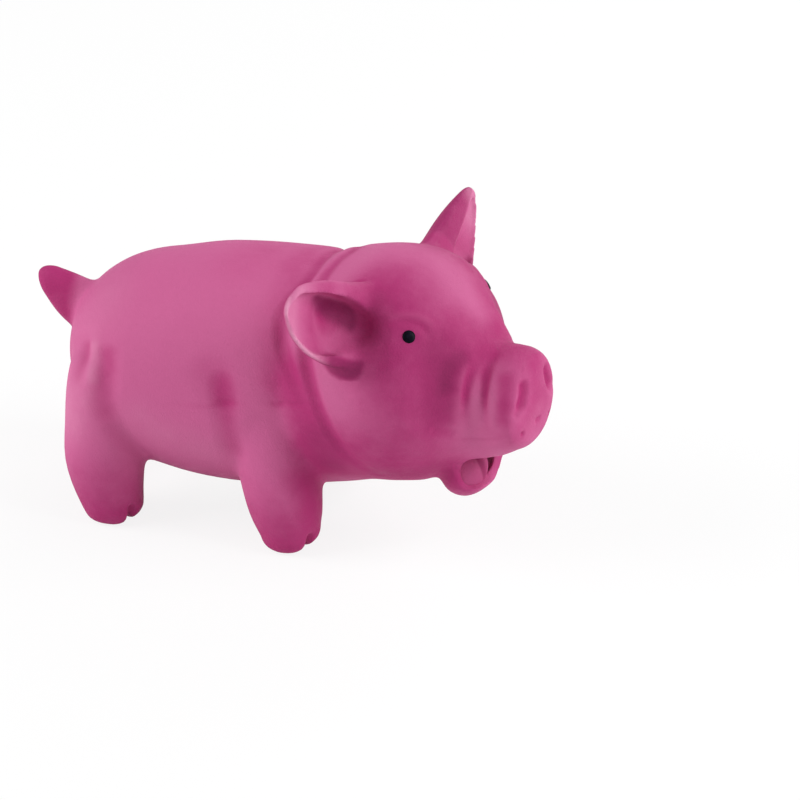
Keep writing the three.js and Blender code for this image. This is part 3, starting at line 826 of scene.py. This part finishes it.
FACE_STROKES = {
    # The deep coat in the flushes of the brow and the cheek is painted shade.
    "flush of the brow": ([(390, 290), (405, 306), (418, 345)], 27, 0, {"airbrush": 0.75, "deep": 0.12}),
    "flush of the cheek": ([(375, 330), (400, 390), (405, 430)], 28, 0, {"airbrush": 0.65, "deep": 0.16}),
    "flush of the jowl": ([(350, 455), (390, 470), (430, 470)], 24, 0, {"airbrush": 0.8}),
    "shade under the jowl": ([(386, 474), (405, 475), (430, 470)], 12, 0, {"deep": 0.3}),
    "flush of the chin": ([(450, 478), (466, 486)], 16, 0, {"airbrush": 0.6}),
    "socket of the eye": ([(407, 336)], 8, -0.3, {"airbrush": 0.2}),
    "lid": (
        [(383, 322), (390, 318), (400, 316), (412, 316), (422, 319), (431, 325), (436, 332)],
        3, 0.5, {"dust_and_painted_light": 0.12}),
    "fold under the lid": (
        [(388, 326), (396, 322), (409, 321), (420, 325), (428, 334), (430, 341)],
        2.4, -0.45, {"airbrush": 0.4}),
    # The hollow behind the muzzle and its edge: airbrush, and a deep coat that is painted shade.
    "hollow behind the muzzle": (
        [(440, 352), (442, 384), (438, 412)], 13, -1.8, {"airbrush": 0.8, "deep": 0.4}),
    "edge of the muzzle": (
        [(449, 402), (447, 388), (451, 372), (460, 360), (476, 354)],
        6, -0.6, {"airbrush": 0.7, "deep": 0.45}),
    "flush of the bridge": ([(460, 352), (484, 350), (502, 354)], 10, 0, {"airbrush": 0.6}),
    "flush of the wrinkles": ([(462, 372), (480, 372), (496, 374)], 9, 0, {"airbrush": 0.45}),
    "first groove": (
        [(468, 424), (466, 404), (468, 386), (472, 370), (478, 360)], 2.6, -0.85, {"airbrush": 0.85}),
    "second groove": (
        [(486, 425), (484, 405), (485, 387), (487, 371), (491, 361)], 2.6, -0.85, {"airbrush": 0.85}),
    "groove behind the snout": (
        [(503, 432), (502, 410), (503, 388), (507, 366)], 5, -0.65, {"airbrush": 0.6}),
    "first ridge": ([(459, 430), (457, 408), (459, 392)], 3.4, 0.3, {"dust_and_painted_light": 0.1}),
    "second ridge": ([(477, 430), (475, 410), (478, 392)], 3.4, 0.3, {"dust_and_painted_light": 0.12}),
    "third ridge": ([(494, 430), (492, 410), (495, 390)], 3.4, 0.3, {"dust_and_painted_light": 0.12}),
    "crease of the cheek": ([(430, 432), (443, 433), (457, 435)], 3.4, -0.4, {"airbrush": 0.35}),
    "seam on the lip": ([(452, 440), (480, 439), (508, 436)], 1.3, -0.1, {"airbrush": 0.2}),
    "flush of the snout": ([(520, 356), (532, 376), (534, 400), (520, 436)], 17, 0, {"airbrush": 0.45}),
    "dent under the nostril": ([(519, 410), (517, 414)], 2.4, -0.6, {"airbrush": 0.35}),
    "flush by the nostril": ([(512, 384), (510, 404)], 6, 0, {"airbrush": 0.4}),
    "outer pit": ([(523, 434)], 1.7, -1.0, {"airbrush": 0.7}),
    "inner pit": ([(537, 420)], 1.7, -0.8, {"airbrush": 0.5}),
    "pale foot of the snout": ([(535, 412), (528, 428)], 7, 0, {"dust_and_painted_light": 0.12}),
    "flush before the eye": ([(460, 328), (484, 342)], 14, 0, {"airbrush": 0.65}),
    "flush of the snout's top": ([(516, 352), (530, 356), (545, 372)], 9, 0, {"airbrush": 0.25}),
}
NOSTRIL = [(524.5, 387), (524, 395), (522, 404)]
NOSTRIL_R, NOSTRIL_LIFT, NOSTRILS_CLOSER = 3.6, -1.8, 0.0015


def work_neck():
    """Two grooves by the ears with a roll between them."""
    for pixels, radius, lift, coats in NECK_STROKES.values():
        round_neck(pixels, radius, lift, **coats)


def work_body():
    """Armpits, the creases of the thighs and faint mould seams."""
    for pixels, radius, lift, coats in BODY_STROKES.values():
        on_both(pixels, 0, radius, lift, **coats)


def work_face():
    """Lids over the eyes, wrinkles along the muzzle, the snout's nostrils and pits, and a flush over all."""
    for pixels, radius, lift, coats in FACE_STROKES.values():
        on_both(pixels, HEAD_TURN, radius, lift, **coats)
    nostril = clay.settle(curve([seen(*pixel) for pixel in NOSTRIL]))
    other = clay.settle(mirrored(nostril, HEAD_TURN) - np.array(head_left) * NOSTRILS_CLOSER)
    # The deep coat in the nostrils is painted shade in their dents.
    for path in (nostril, other):
        clay.stroke(path, NOSTRIL_R, NOSTRIL_LIFT, airbrush=0.9, deep=0.15)


CLEFT_TURN = math.radians(31)
CLEFT = [(12.2, 9), (11.8, 7), (10.4, 4.6), (8, 2.8), (4.5, 2)]  # out from the foot's middle, height
CLEFT_R, CLEFT_LIFT, CLEFT_PAINT = 2.5, -2.4, 0.5
TOES = [(-0.5, 5, 0.4), (0.45, 5, 0.5)]  # turn from the cleft, radius, lift


def work_feet():
    """A cleft up the front of each foot, turned a little outwards, with a toe to each side."""
    for rows, foot_x, side in LEGS.values():
        foot_out = rows[0][2]
        for turn, radius, lift in [(0, CLEFT_R, CLEFT_LIFT)] + TOES:
            across, ahead = math.sin(CLEFT_TURN + turn), math.cos(CLEFT_TURN + turn)
            path = [pig_place(foot_x + far * ahead, side * (foot_out + far * across), z) for far, z in CLEFT]
            path = clay.settle(curve(path if turn == 0 else path[1:4]))
            clay.stroke(path, radius, lift, airbrush=CLEFT_PAINT if turn == 0 else 0)


# Painted shade on the left ear's roof, in the airbrush and the deep coat; the right ear has none.
LEFT_ROOF_SHADE = 0.4


def work_ears():
    """Airbrush and painted shade down in the hollows and under the roof, painted shade under the lower edge
    by the root and on the left ear's roof, pale edges, painted light where the inside is shallow.
    """
    spray, deep, dust_and_painted_light = (clay.coats[coat] for coat in ("airbrush", "deep", "dust_and_painted_light"))
    for ear, side in EARS.items():
        share, up, front = ear_offsets(clay.places, side)
        lower, upper, _, back = eased(EAR, np.clip(share, EAR[0][0], EAR[-1][0])).T
        own = (share > -0.12) & (share < 1.05) & (up > lower - 3) & (up < upper + 3)
        own &= (front > -back - 3) & (front < 6)
        facing = clay.out @ np.array(ear_axes(side)[3])
        close = fade(away[ear], 0.0045, 0.0015)
        hollow = fade(front, -1, -6) * np.clip(facing * 1.6, 0, 1) * fade(share, 0.6, 0.3)
        # Stronger up under the roof, where its shadow falls: airbrush and painted shadow.
        hollow *= np.clip(0.4 + (up + 6) / 14, 0.4, 1)
        flush = peak(share, 0.5, 0.35) * np.clip(facing, 0, 1) * 0.6
        behind = np.clip(0.8 - facing * 1.5, 0, 0.95)
        # Painted shade on the lower edge by the root, which faces down, in the airbrush and the deep coat.
        shade_under_lobe = fade(up - lower, 6, 3) * fade(share, 0.55, 0.35)
        shade = fade(up - 16 * share, -6, -1) * fade(front, -0.5, -3) * np.clip(facing * 1.6 + 0.3, 0, 1)
        shade *= fade(share, 0.72, 0.52) * fade(up, 9, 7)
        roof = close * fade(up, 4, 6) * fade(share, 0.05, 0.15) * (LEFT_ROOF_SHADE if side > 0 else 0)
        # The deep coat here is painted shade: in the hollow, by the root's lower edge and on the left ear's
        # roof.
        deep[own] = np.maximum.reduce([deep, shade * 0.75, close * shade_under_lobe * 0.65, roof])[own]
        outside = close * np.maximum.reduce([behind, shade_under_lobe, flush])
        spray[own] = np.maximum.reduce([spray, hollow, outside, roof * 2])[own]
        edge = peak(front, 0.4, 2.2) * fade(share, 0.3, 0.6)
        rim = edge * (fade(fade(up, lower, upper), 0.2, 0) + fade(share, 0.9, 0.98)) * 0.8
        # Painted light in the shallow part near the tip, where it faces out.
        painted_light_in_bowl = fade(share, 0.62, 0.82) * np.clip(facing, 0, 1) * 0.4
        dust_and_painted_light[own] = np.maximum.reduce([dust_and_painted_light, np.clip(rim, 0, 0.8), painted_light_in_bowl])[own]


MOUTH_SPRAY, MOUTH_PAINTED_LIGHT = 0.45, 0.8


def work_mouth():
    """Painted light in the mouth: the airbrush held at one amount there, and a pale coat over it."""
    x, y, z = head_coords(clay.places).T
    for middle_x, middle_z, (along, wide, tall) in (POCKET, PALATE):
        depth = 1.08 - np.sqrt(((x - middle_x) / along) ** 2 + (y / wide) ** 2 + ((z - middle_z) / tall) ** 2)
        inner = np.clip(depth * 8, 0, 1)
        clay.coats["airbrush"] = clay.coats["airbrush"] * (1 - inner) + MOUTH_SPRAY * inner
        clay.coats["dust_and_painted_light"] = np.maximum(clay.coats["dust_and_painted_light"], MOUTH_PAINTED_LIGHT * inner)


FEET_PAINT_AND_SHADE, TAIL_PAINT, DENT = 0.9, 0.95, 0.12


def work_all_over():
    """A deeper coat towards the feet, partly painted shade, and towards the tail's tip, and soft dents of a
    stuffed skin.
    """
    x, y, z = pig_coords(clay.places).T
    # Darker towards the feet: airbrush and painted shade.
    feet = fade(z, 38, 6) * FEET_PAINT_AND_SHADE
    tail = fade(x, RUMP_X + 4, RUMP_X - 2) * TAIL_PAINT
    clay.coats["airbrush"] = np.maximum.reduce([clay.coats["airbrush"], feet, tail])
    dents = np.sin(x / 9.1 + 1.3 * np.sin(z / 13)) * np.sin(y / 11.3 + 0.7) * np.sin(z / 10.7 + x / 17)
    clay.lift += dents * DENT * MM


work_neck()
work_body()
work_face()
work_feet()
work_ears()
work_mouth()
work_all_over()
clay.finish()
smooth(skin, np.full(len(clay.places), 0.6), times=2)
soles = places_of(skin)
soles[:, 2] = np.maximum(soles[:, 2], 0)
set_places(skin, soles)


# The skin parted into pieces, each closed, where one bends or the moulded parts meet

EAR_START, EAR_BEND = 0.16, (0.18, 0.55)  # shares of the ear: where it is parted, and where it bends
EAR_ROOM_UP, EAR_ROOM_BACK, EAR_ROOM_FRONT = 21, -16, 8
TAIL_START, TAIL_BEND, TAIL_ROOM = 4.0, (4.7, 14.0), 15
JAW_CORNER, JAW_THROAT = (57.5, 46.0), (50.5, 29.0)
NECK_UPRIGHT, NECK_LEAN = 75, 0.3  # below this height the line round the neck leans forward
LEG_ROOM_ALONG, LEG_ROOM_IN, LEG_ROOM_UP = 28, 6, 62
LEG_CLEAR, LEG_NEAR = 0.0022, 0.004  # a leg's faces are this clear of the torso, and this near its form
LIP_IN = 0.0012
jaw_slope = Vector((JAW_CORNER[1] - JAW_THROAT[1], JAW_THROAT[0] - JAW_CORNER[0])).normalized()


def evened(own):
    """A part's faces with an even outline: each goes the way of most of those round it."""
    edges = column(skin.data.loops, "edge_index", kind=int)
    sides = column(skin.data.polygons, "loop_total", kind=int)
    order = np.argsort(edges, kind="stable")
    edges, faces = edges[order], np.repeat(np.arange(len(own)), sides)[order]
    shared = edges[1:] == edges[:-1]
    a, b = faces[:-1][shared], faces[1:][shared]
    for _ in range(12):
        count = own + np.bincount(a, own[b], len(own)) + np.bincount(b, own[a], len(own))
        own = count > (sides + 1) / 2
    return own


def label_faces():
    """Which part each face of the skin belongs to."""
    centres = column(skin.data.polygons, "center", 3)
    corners = column(skin.data.loops, "vertex_index", kind=int)
    first_corner = corners[column(skin.data.polygons, "loop_start", kind=int)]
    ahead, _, height = head_coords(centres, HEAD_TURN / 2).T
    neck = np.maximum(0, (NECK_UPRIGHT - height) * NECK_LEAN)
    labels = np.where(ahead > neck, PARTS.index("head"), PARTS.index("torso"))
    x, _, z = head_coords(centres).T
    beyond = (x - JAW_CORNER[0]) * jaw_slope.x + (z - JAW_CORNER[1]) * jaw_slope.y
    chin = (away["jaw"] < away["head"])[first_corner]
    labels[evened(chin & (beyond > 0))] = PARTS.index("jaw")
    offset = (centres - np.array(pig_place(*TAIL_ROOT))) / MM
    along = offset @ np.array(tail_along)
    aside = np.linalg.norm(offset - along[:, None] * np.array(tail_along), axis=1)
    labels[(along > TAIL_START) & (aside < TAIL_ROOM)] = PARTS.index("tail")
    for ear, side in EARS.items():
        share, up, front = ear_offsets(centres, side)
        own = (share > EAR_START) & (np.abs(up) < EAR_ROOM_UP)
        labels[own & (front > EAR_ROOM_BACK) & (front < EAR_ROOM_FRONT)] = PARTS.index(ear)
    x, y, z = pig_coords(centres).T
    for leg, (_, foot_x, side) in LEGS.items():
        room = (np.abs(x - foot_x) < LEG_ROOM_ALONG) & (side * y > LEG_ROOM_IN) & (z < LEG_ROOM_UP)
        for i in np.flatnonzero(room):
            clear = min(form_trees[name].find_nearest(centres[i])[3] for name in ("torso", "head"))
            if clear > LEG_CLEAR and away[leg][first_corner[i]] < LEG_NEAR:
                labels[i] = PARTS.index(leg)
    return labels


def close_edge(obj):
    """Turns a part's open edge in below the surface and fills it there."""
    pick(obj)
    bpy.ops.object.mode_set(mode="EDIT")
    bpy.ops.mesh.select_mode(type="EDGE")
    bpy.ops.mesh.select_all(action="DESELECT")
    bpy.ops.mesh.select_non_manifold()
    bpy.ops.mesh.extrude_region_move()
    mesh = bmesh.from_edit_mesh(obj.data)
    outward = mesh.verts.layers.float_vector["whole"]
    for vert in mesh.verts:
        if vert.select:
            vert.co -= vert[outward] * LIP_IN
    bmesh.update_edit_mesh(obj.data)
    bpy.ops.mesh.select_all(action="SELECT")
    bpy.ops.mesh.fill_holes(sides=0)
    bpy.ops.mesh.select_mode(type="FACE")
    bpy.ops.object.mode_set(mode="OBJECT")


def parted(labels):
    """Parts the skin by its labels; each part's edge is turned in below the surface and closed there."""
    whole = normals_of(skin)
    layer = skin.data.attributes.new("whole", "FLOAT_VECTOR", "POINT")
    layer.data.foreach_set("vector", whole.astype(np.float32).ravel())
    skin.data.materials.clear()
    for part in PARTS:
        skin.data.materials.append(bpy.data.materials.new(part + "_mark"))
    skin.data.polygons.foreach_set("material_index", labels.astype(np.int32))
    pick(skin)
    bpy.ops.object.mode_set(mode="EDIT")
    bpy.ops.mesh.select_all(action="SELECT")
    bpy.ops.mesh.separate(type="MATERIAL")
    bpy.ops.object.mode_set(mode="OBJECT")
    pieces = {}
    for obj in list(bpy.context.selected_objects):
        part = obj.data.materials[obj.data.polygons[0].material_index].name.removesuffix("_mark")
        pieces[part] = obj
    for part, obj in pieces.items():
        close_edge(obj)
        obj.name = obj.data.name = part + "_latex"
        bpy.ops.object.shade_smooth()
        normals = column(obj.data.attributes["whole"].data, "vector", 3, np.float32)
        obj.data.normals_split_custom_set_from_vertices(normals)
        obj.data.attributes.remove(obj.data.attributes["whole"])
    return pieces


pieces = parted(label_faces())


# Finishes

class Value:
    """A value in a finish, so that sums can be written out."""

    def __init__(self, finish, socket):
        self.finish, self.socket = finish, socket

    def sum(self, operation, a, b):
        return self.finish.node("Math", {0: a, 1: b}, operation=operation)

    def __add__(self, other):
        return self.sum("ADD", self, other)

    def __radd__(self, other):
        return self.sum("ADD", other, self)

    def __sub__(self, other):
        return self.sum("SUBTRACT", self, other)

    def __rsub__(self, other):
        return self.sum("SUBTRACT", other, self)

    def __mul__(self, other):
        return self.sum("MULTIPLY", self, other)

    def __rmul__(self, other):
        return self.sum("MULTIPLY", other, self)

    def over(self, low, high):
        """0 below low, 1 above high, smooth between."""
        return self.finish.node("MapRange", {"Value": self, "From Min": low, "From Max": high},
                                interpolation_type="SMOOTHSTEP")


class Finish:
    """A material built from nodes."""

    def __init__(self, name, **constants):
        self.material = bpy.data.materials.new(name)
        self.material.use_nodes = True
        self.tree = self.material.node_tree
        self.shader = self.tree.nodes["Principled BSDF"]
        for socket, value in constants.items():
            self.shader.inputs[socket.replace("_", " ")].default_value = value

    def link(self, socket, value):
        if isinstance(value, Value):
            self.tree.links.new(value.socket, socket)
        else:
            socket.default_value = value

    def node(self, kind, sockets=None, output=0, **settings):
        node = self.tree.nodes.new("ShaderNode" + kind)
        for setting, value in settings.items():
            setattr(node, setting, value)
        for socket, value in (sockets or {}).items():
            self.link(node.inputs[socket], value)
        return Value(self, node.outputs[output])

    def mix(self, share, first, second):
        """From the first colour to the second."""
        return self.node("Mix", {0: share, 6: first, 7: second}, 2, data_type="RGBA")

    def noise(self, scale, detail=3, roughness=0.5):
        here = self.node("TexCoord", output="Object")
        sockets = {"Vector": here, "Scale": scale, "Detail": detail, "Roughness": roughness}
        return self.node("TexNoise", sockets)

    def coat(self, name):
        return self.node("Attribute", None, "Fac", attribute_name=name)

    def dress(self, colour, roughness, height, depth):
        """Feeds the shader: the bump's height is a share of its depth, in metres."""
        self.link(self.shader.inputs["Base Color"], colour)
        self.link(self.shader.inputs["Roughness"], roughness)
        bump = self.node("Bump", {"Strength": 1, "Distance": depth, "Height": height})
        self.link(self.shader.inputs["Normal"], bump)
        return self.material


def latex_finish(name, pink, magenta, deep, pale):
    """Matt powdery latex: airbrushed, darker in the hollows with a coat that is partly painted shade, pale on
    the edges and elsewhere with a coat that is partly powder and partly painted light, finely pitted.
    """
    finish = Finish(name, Specular_IOR_Level=0.14, Sheen_Weight=0.02, Sheen_Roughness=0.5,
                    Sheen_Tint=(1, 0.6, 0.8, 1))
    broad, cloud = finish.noise(26, 2), finish.noise(120, 4, 0.6)
    grain = finish.noise(1500, 3, 0.6)
    specks = finish.noise(700, 2).over(0.68, 0.8)
    spray = finish.coat("airbrush") * (0.7 + cloud * 0.6) + (broad - 0.5) * 0.3 + (cloud - 0.5) * 0.12
    colour = finish.mix(spray.over(-0.05, 1.0), pink, magenta)
    # The deep coat: a darker magenta, partly painted shade.
    colour = finish.mix((finish.coat("deep") * (0.8 + cloud * 0.4)).over(0.0, 1.0), colour, deep)
    # The pale coat: partly powder, partly painted light.
    bloom = finish.coat("dust_and_painted_light") * (0.5 + cloud) + specks * 0.08
    colour = finish.mix(bloom.over(0.0, 1.1), colour, pale)
    return finish.dress(colour, 0.5 + cloud * 0.2 + grain * 0.06, grain * 0.6 + cloud * 0.4, 0.00035)


def eye_finish():
    finish = Finish("eye_paint", Specular_IOR_Level=0.06)
    brush = finish.noise(900, 3)
    colour = finish.mix(brush.over(0.4, 0.8), (0.0025, 0.0022, 0.006, 1), (0.007, 0.006, 0.016, 1))
    return finish.dress(colour, 0.34 + brush * 0.15, brush, 0.0001)


def plastic_finish(name, colour, shade):
    """Moulded plastic: faint clouds, a fine orange skin."""
    finish = Finish(name, Specular_IOR_Level=0.45)
    cloud, skin_grain = finish.noise(180, 3), finish.noise(1900, 2)
    tint = finish.mix(cloud.over(0.35, 0.7), colour, shade)
    return finish.dress(tint, 0.36 + cloud * 0.15, skin_grain * 0.7 + cloud * 0.3, 0.00015)


def fibre_finish():
    """Crimped fibre filling: fine hairs over soft lumps."""
    finish = Finish("fibre_filling", Sheen_Weight=0.2, Sheen_Roughness=0.6)
    here = finish.node("TexCoord", output="Object")
    stretched = finish.node("Mapping", {"Vector": here, "Rotation": (0.4, 0.9, 0.3), "Scale": (1, 6, 6)})
    hairs = finish.node("TexNoise", {"Vector": stretched, "Scale": 420, "Detail": 4, "Distortion": 1.5})
    lumps = finish.noise(110, 3)
    crimp = (hairs * 0.6 + lumps * 0.4).over(0.3, 0.7)
    colour = finish.mix(crimp, (0.62, 0.6, 0.57, 1), (0.86, 0.85, 0.82, 1))
    return finish.dress(colour, 0.85 + hairs * 0.1, hairs * 0.7 + lumps * 0.3, 0.0012)


PINK, MAGENTA = (0.55, 0.112, 0.275, 1), (0.4, 0.028, 0.15, 1)
# The deep colour is partly painted shade; the pale one is partly painted light.
DEEP_PAINT_AND_SHADE, PALE_PINK = (0.22, 0.016, 0.085, 1), (0.74, 0.32, 0.48, 1)
TONGUE_PINK, TONGUE_MAGENTA = (0.43, 0.065, 0.19, 1), (0.3, 0.025, 0.11, 1)
TONGUE_PALE = (0.6, 0.2, 0.36, 1)
pink_latex = latex_finish("pink_latex", PINK, MAGENTA, DEEP_PAINT_AND_SHADE, PALE_PINK)
tongue_latex = latex_finish("tongue_latex", TONGUE_PINK, TONGUE_MAGENTA, DEEP_PAINT_AND_SHADE, TONGUE_PALE)
eye_paint = eye_finish()
white_plastic = plastic_finish("white_plastic", (0.78, 0.78, 0.75, 1), (0.7, 0.69, 0.65, 1))
reed_film = plastic_finish("reed_film", (0.72, 0.66, 0.5, 1), (0.6, 0.54, 0.4, 1))
fibre_filling = fibre_finish()


def dress(obj, material):
    """One finish all over the piece."""
    obj.data.materials.clear()
    obj.data.materials.append(material)
    obj.data.polygons.foreach_set("material_index", np.zeros(len(obj.data.polygons), np.int32))


# What each part of the skin stands for, and what the torso, the head and the legs move with

STANDS_FOR = {"torso": "body_skin", "head": "head_skin", "jaw": "lower_jaw"}
for part, obj in pieces.items():
    dress(obj, pink_latex)
    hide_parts(STANDS_FOR.get(part, part))
for part in PARTS[:6]:
    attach(pieces[part], "pig")
for ear, side in EARS.items():
    root, along, *_ = ear_axes(side)
    start, end = (root + along * (share * ear_long * MM) for share in EAR_BEND)
    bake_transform(pieces[ear])
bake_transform(pieces["tail"])
jaw_corner = head_place(JAW_CORNER[0], 0, JAW_CORNER[1])
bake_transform(pieces["jaw"])


# Tongue, lying in the lip

TONGUE = [  # x, z, half width, up, down
    (51.5, 46, 6.6, 3.2, 3),
    (55.5, 43.4, 8.2, 3.8, 3.6),
    (59.5, 40, 8.6, 3.9, 3.6),
    (63, 36.4, 7.8, 3.2, 3),
    (65.4, 33.8, 6.2, 2.2, 2),
]
TONGUE_TIP_DOME, TONGUE_ROOT_DOME = 4, 2
TONGUE_ASIDE, TONGUE_ROLL = -2.6, 0.22
FURROW_ASIDE, FURROW_R, FURROW_DEEP = 2.2, 3, 1.4
# The furrow's airbrush and deep coat are painted shade, darker down in it.
FURROW_PAINTED_SHADE = {"airbrush": 0.9, "deep": 0.5}


def tongue_form():
    places = TONGUE[0][0] + (TONGUE[-1][0] - TONGUE[0][0]) * crowded(22, True, True)
    rings = []
    upward = (head_ahead * 0.58 + Vector((0, 0, 0.81))).normalized()
    across = (head_left + upward * TONGUE_ROLL).normalized()
    rise = (upward - head_left * TONGUE_ROLL).normalized()
    for x, (z, wide, up, down) in zip(places, eased(TONGUE, places)):
        size = rounded(TONGUE[-1][0] - x, TONGUE_TIP_DOME) * rounded(x - TONGUE[0][0], TONGUE_ROOT_DOME)
        centre = head_place(x, TONGUE_ASIDE, z)
        rings.append(Ring(centre, across, rise, wide * size, up * size, down * size))
    tongue = drawn_out("tongue_form", rings, 40)
    apply_modifier(tongue, "SUBSURF", levels=1, render_levels=1)
    places = places_of(tongue)
    aside = head_coords(places)[:, 1] - TONGUE_ASIDE
    above = np.clip(normals_of(tongue) @ np.array(rise), 0, 1)
    furrow = np.clip(1 - ((aside - FURROW_ASIDE) / FURROW_R) ** 2, 0, 1) ** 2 * above
    set_places(tongue, places - np.array(rise) * (furrow * FURROW_DEEP * MM)[:, None])
    for coat, amount in FURROW_PAINTED_SHADE.items():
        paint(tongue, coat, furrow * amount)
    shade_smooth(tongue)
    return tongue


tongue = tongue_form()
dress(tongue, tongue_latex)
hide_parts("tongue")
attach(tongue, "jaw")


# Eyes: drops of black paint on the skin

EYE_R = 2.25
EYE_PROFILE = [  # height over the skin, share of the radius
    (-0.9, 0.9), (-0.3, 1), (0.1, 1), (0.3, 0.93), (0.46, 0.78), (0.58, 0.55), (0.65, 0.28), (0.67, 0.05),
]
skin_tree = tree_of(*pieces.values())


def eye_form(node):
    low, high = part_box(node)
    centre, out, _, _ = skin_tree.find_nearest((low + high) / 2)
    across = out.cross(Vector((0, 0, 1))).normalized()
    rise = across.cross(out)
    rings = []
    for height, size in EYE_PROFILE:
        middle = centre + out * (height * MM)
        rings.append(Ring(middle, across, rise, EYE_R * size, EYE_R * size, EYE_R * size))
    eye = drawn_out(node + "_paint", rings, 40)
    shade_smooth(eye)
    return eye


for node in ("right_eye", "left_eye"):
    eye = eye_form(node)
    dress(eye, eye_paint)
    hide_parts(node)
    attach(eye, "pig")


# Stuffing: wads of fibre, lumpy, kept a little inside the skin

WAD_VOXEL, WAD_LUMP, WAD_CLEAR = 0.0018, 0.7, 0.8


def wad_form(node):
    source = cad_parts[node]
    wad = bpy.data.objects.new(node + "_wad", source.data.copy())
    scene.collection.objects.link(wad)
    pick(wad)
    bpy.ops.object.mode_set(mode="EDIT")
    bpy.ops.mesh.select_all(action="SELECT")
    bpy.ops.mesh.remove_doubles(threshold=1e-6)
    bpy.ops.object.mode_set(mode="OBJECT")
    apply_modifier(wad, "REMESH", mode="VOXEL", voxel_size=WAD_VOXEL)
    apply_modifier(wad, "SMOOTH", factor=0.5, iterations=3)
    places, out = places_of(wad), normals_of(wad)
    x, y, z = (places / MM).T
    lumps = np.sin(x / 2.9 + 1.7 * np.sin(y / 3.7)) * np.sin(y / 3.3 + 1.1 * np.sin(z / 4.1))
    lumps = lumps * np.sin(z / 2.7 + x / 5)
    places = places + out * (lumps * WAD_LUMP * MM)[:, None]
    for i, place in enumerate(places):
        nearest, normal, _, _ = skin_tree.find_nearest(place)
        if (Vector(place) - nearest).dot(normal) > -WAD_CLEAR * MM:
            places[i] = nearest - normal * WAD_CLEAR * MM
    set_places(wad, places)
    shade_smooth(wad)
    return wad


for node in [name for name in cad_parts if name.endswith("_filling")]:
    wad = wad_form(node)
    dress(wad, fibre_filling)
    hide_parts(node)
    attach(wad, "pig")


# Bellows: a blown plastic bag with rounded folds over a short neck

FOLD_R, WAIST_R, NECK_R, FOLDS, BELLOWS_NECK = 15, 11, 4.9, 4, 5
bellows_low, bellows_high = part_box("bellows_folds")


def bellows_form():
    tall = (bellows_high.z - bellows_low.z) / MM
    middle = (bellows_low + bellows_high) / 2
    outline = [(0, NECK_R), (BELLOWS_NECK - 0.8, NECK_R), (BELLOWS_NECK - 0.2, NECK_R + 0.8)]
    outline.append((BELLOWS_NECK, WAIST_R - 1))
    for z in np.linspace(BELLOWS_NECK + 0.2, tall - 0.3, 12 * FOLDS + 1):
        wave = 0.5 - 0.5 * math.cos(2 * math.pi * FOLDS * (z - BELLOWS_NECK) / (tall - BELLOWS_NECK))
        outline.append((z, WAIST_R + (FOLD_R - WAIST_R) * wave**0.8))
    outline.append((tall, WAIST_R - 0.6))
    rings = []
    for z, radius in outline:
        centre = Vector((middle.x, middle.y, bellows_low.z + z * MM))
        rings.append(Ring(centre, (1, 0, 0), (0, 1, 0), radius, radius, radius))
    bellows = drawn_out("bellows_bag", rings, 56)
    pick(bellows)
    bpy.ops.object.shade_smooth_by_angle(angle=math.radians(40))
    return bellows


bellows = bellows_form()
dress(bellows, white_plastic)
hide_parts("bellows_folds")
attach(bellows, "pig")
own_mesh(bellows)


# The squeaker's moulded pieces keep their solids

SQUEAKER = ("vent_plug", "reed_pipe", "reed_seat", "reed_wedge", "bellows_crown", "reed")
for node in SQUEAKER:
    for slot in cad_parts[node].material_slots:
        slot.material = reed_film if node == "reed" else white_plastic


# Floor and light: a white studio with broad lamps by the tail and the snout, a weaker one on the far side

FLOOR_GREY, FLOOR_WHITE = (0.9, 0.9, 0.9, 1), 0.85
SKY_LIGHT = 0.36
LAMPS = {  # place, size, power
    "key": ((-1.3, -0.6, 0.9), 1.0, 20),
    "side": ((1.25, 0.0, 0.85), 0.9, 16),
    "far": ((0.4, 1.4, 0.8), 0.9, 8),
}
LAMPS_AIM = Vector((0, 0, 0.06))


def floor_finish():
    """White to the camera and to reflections, with the shadow kept."""
    finish = Finish("pale_floor", Base_Color=FLOOR_GREY, Roughness=1.0)
    rays = finish.tree.nodes.new("ShaderNodeLightPath")
    camera_ray, glossy, through = (Value(finish, rays.outputs[name])
                                   for name in ("Is Camera Ray", "Is Glossy Ray", "Is Transmission Ray"))
    white = finish.node("Emission", {"Color": (1, 1, 1, 1), "Strength": 1})
    share = (camera_ray + glossy + through) * FLOOR_WHITE
    both = finish.node("MixShader", {0: share, 1: Value(finish, finish.shader.outputs[0]), 2: white})
    finish.link(finish.tree.nodes["Material Output"].inputs["Surface"], both)
    return finish.material


def light_stage():
    scene.view_settings.view_transform = "Standard"
    deselect()
    bpy.ops.mesh.primitive_plane_add(size=8, location=(0, 0, 0))
    floor = bpy.context.object
    floor.name = "floor"
    floor.data.materials.append(floor_finish())
    world = bpy.data.worlds.new("studio")
    scene.world = world
    world.use_nodes = True
    nodes = world.node_tree.nodes
    nodes["Background"].inputs["Color"].default_value = (1, 1, 1, 1)
    nodes["Background"].inputs["Strength"].default_value = SKY_LIGHT
    for name, (place, size, power) in LAMPS.items():
        lamp = bpy.data.lights.new(name, "AREA")
        lamp.size = size
        lamp.energy = power
        obj = bpy.data.objects.new(name, lamp)
        scene.collection.objects.link(obj)
        obj.location = place
        obj.rotation_mode = "QUATERNION"
        obj.rotation_quaternion = (LAMPS_AIM - Vector(place)).to_track_quat("-Z", "Y")


light_stage()
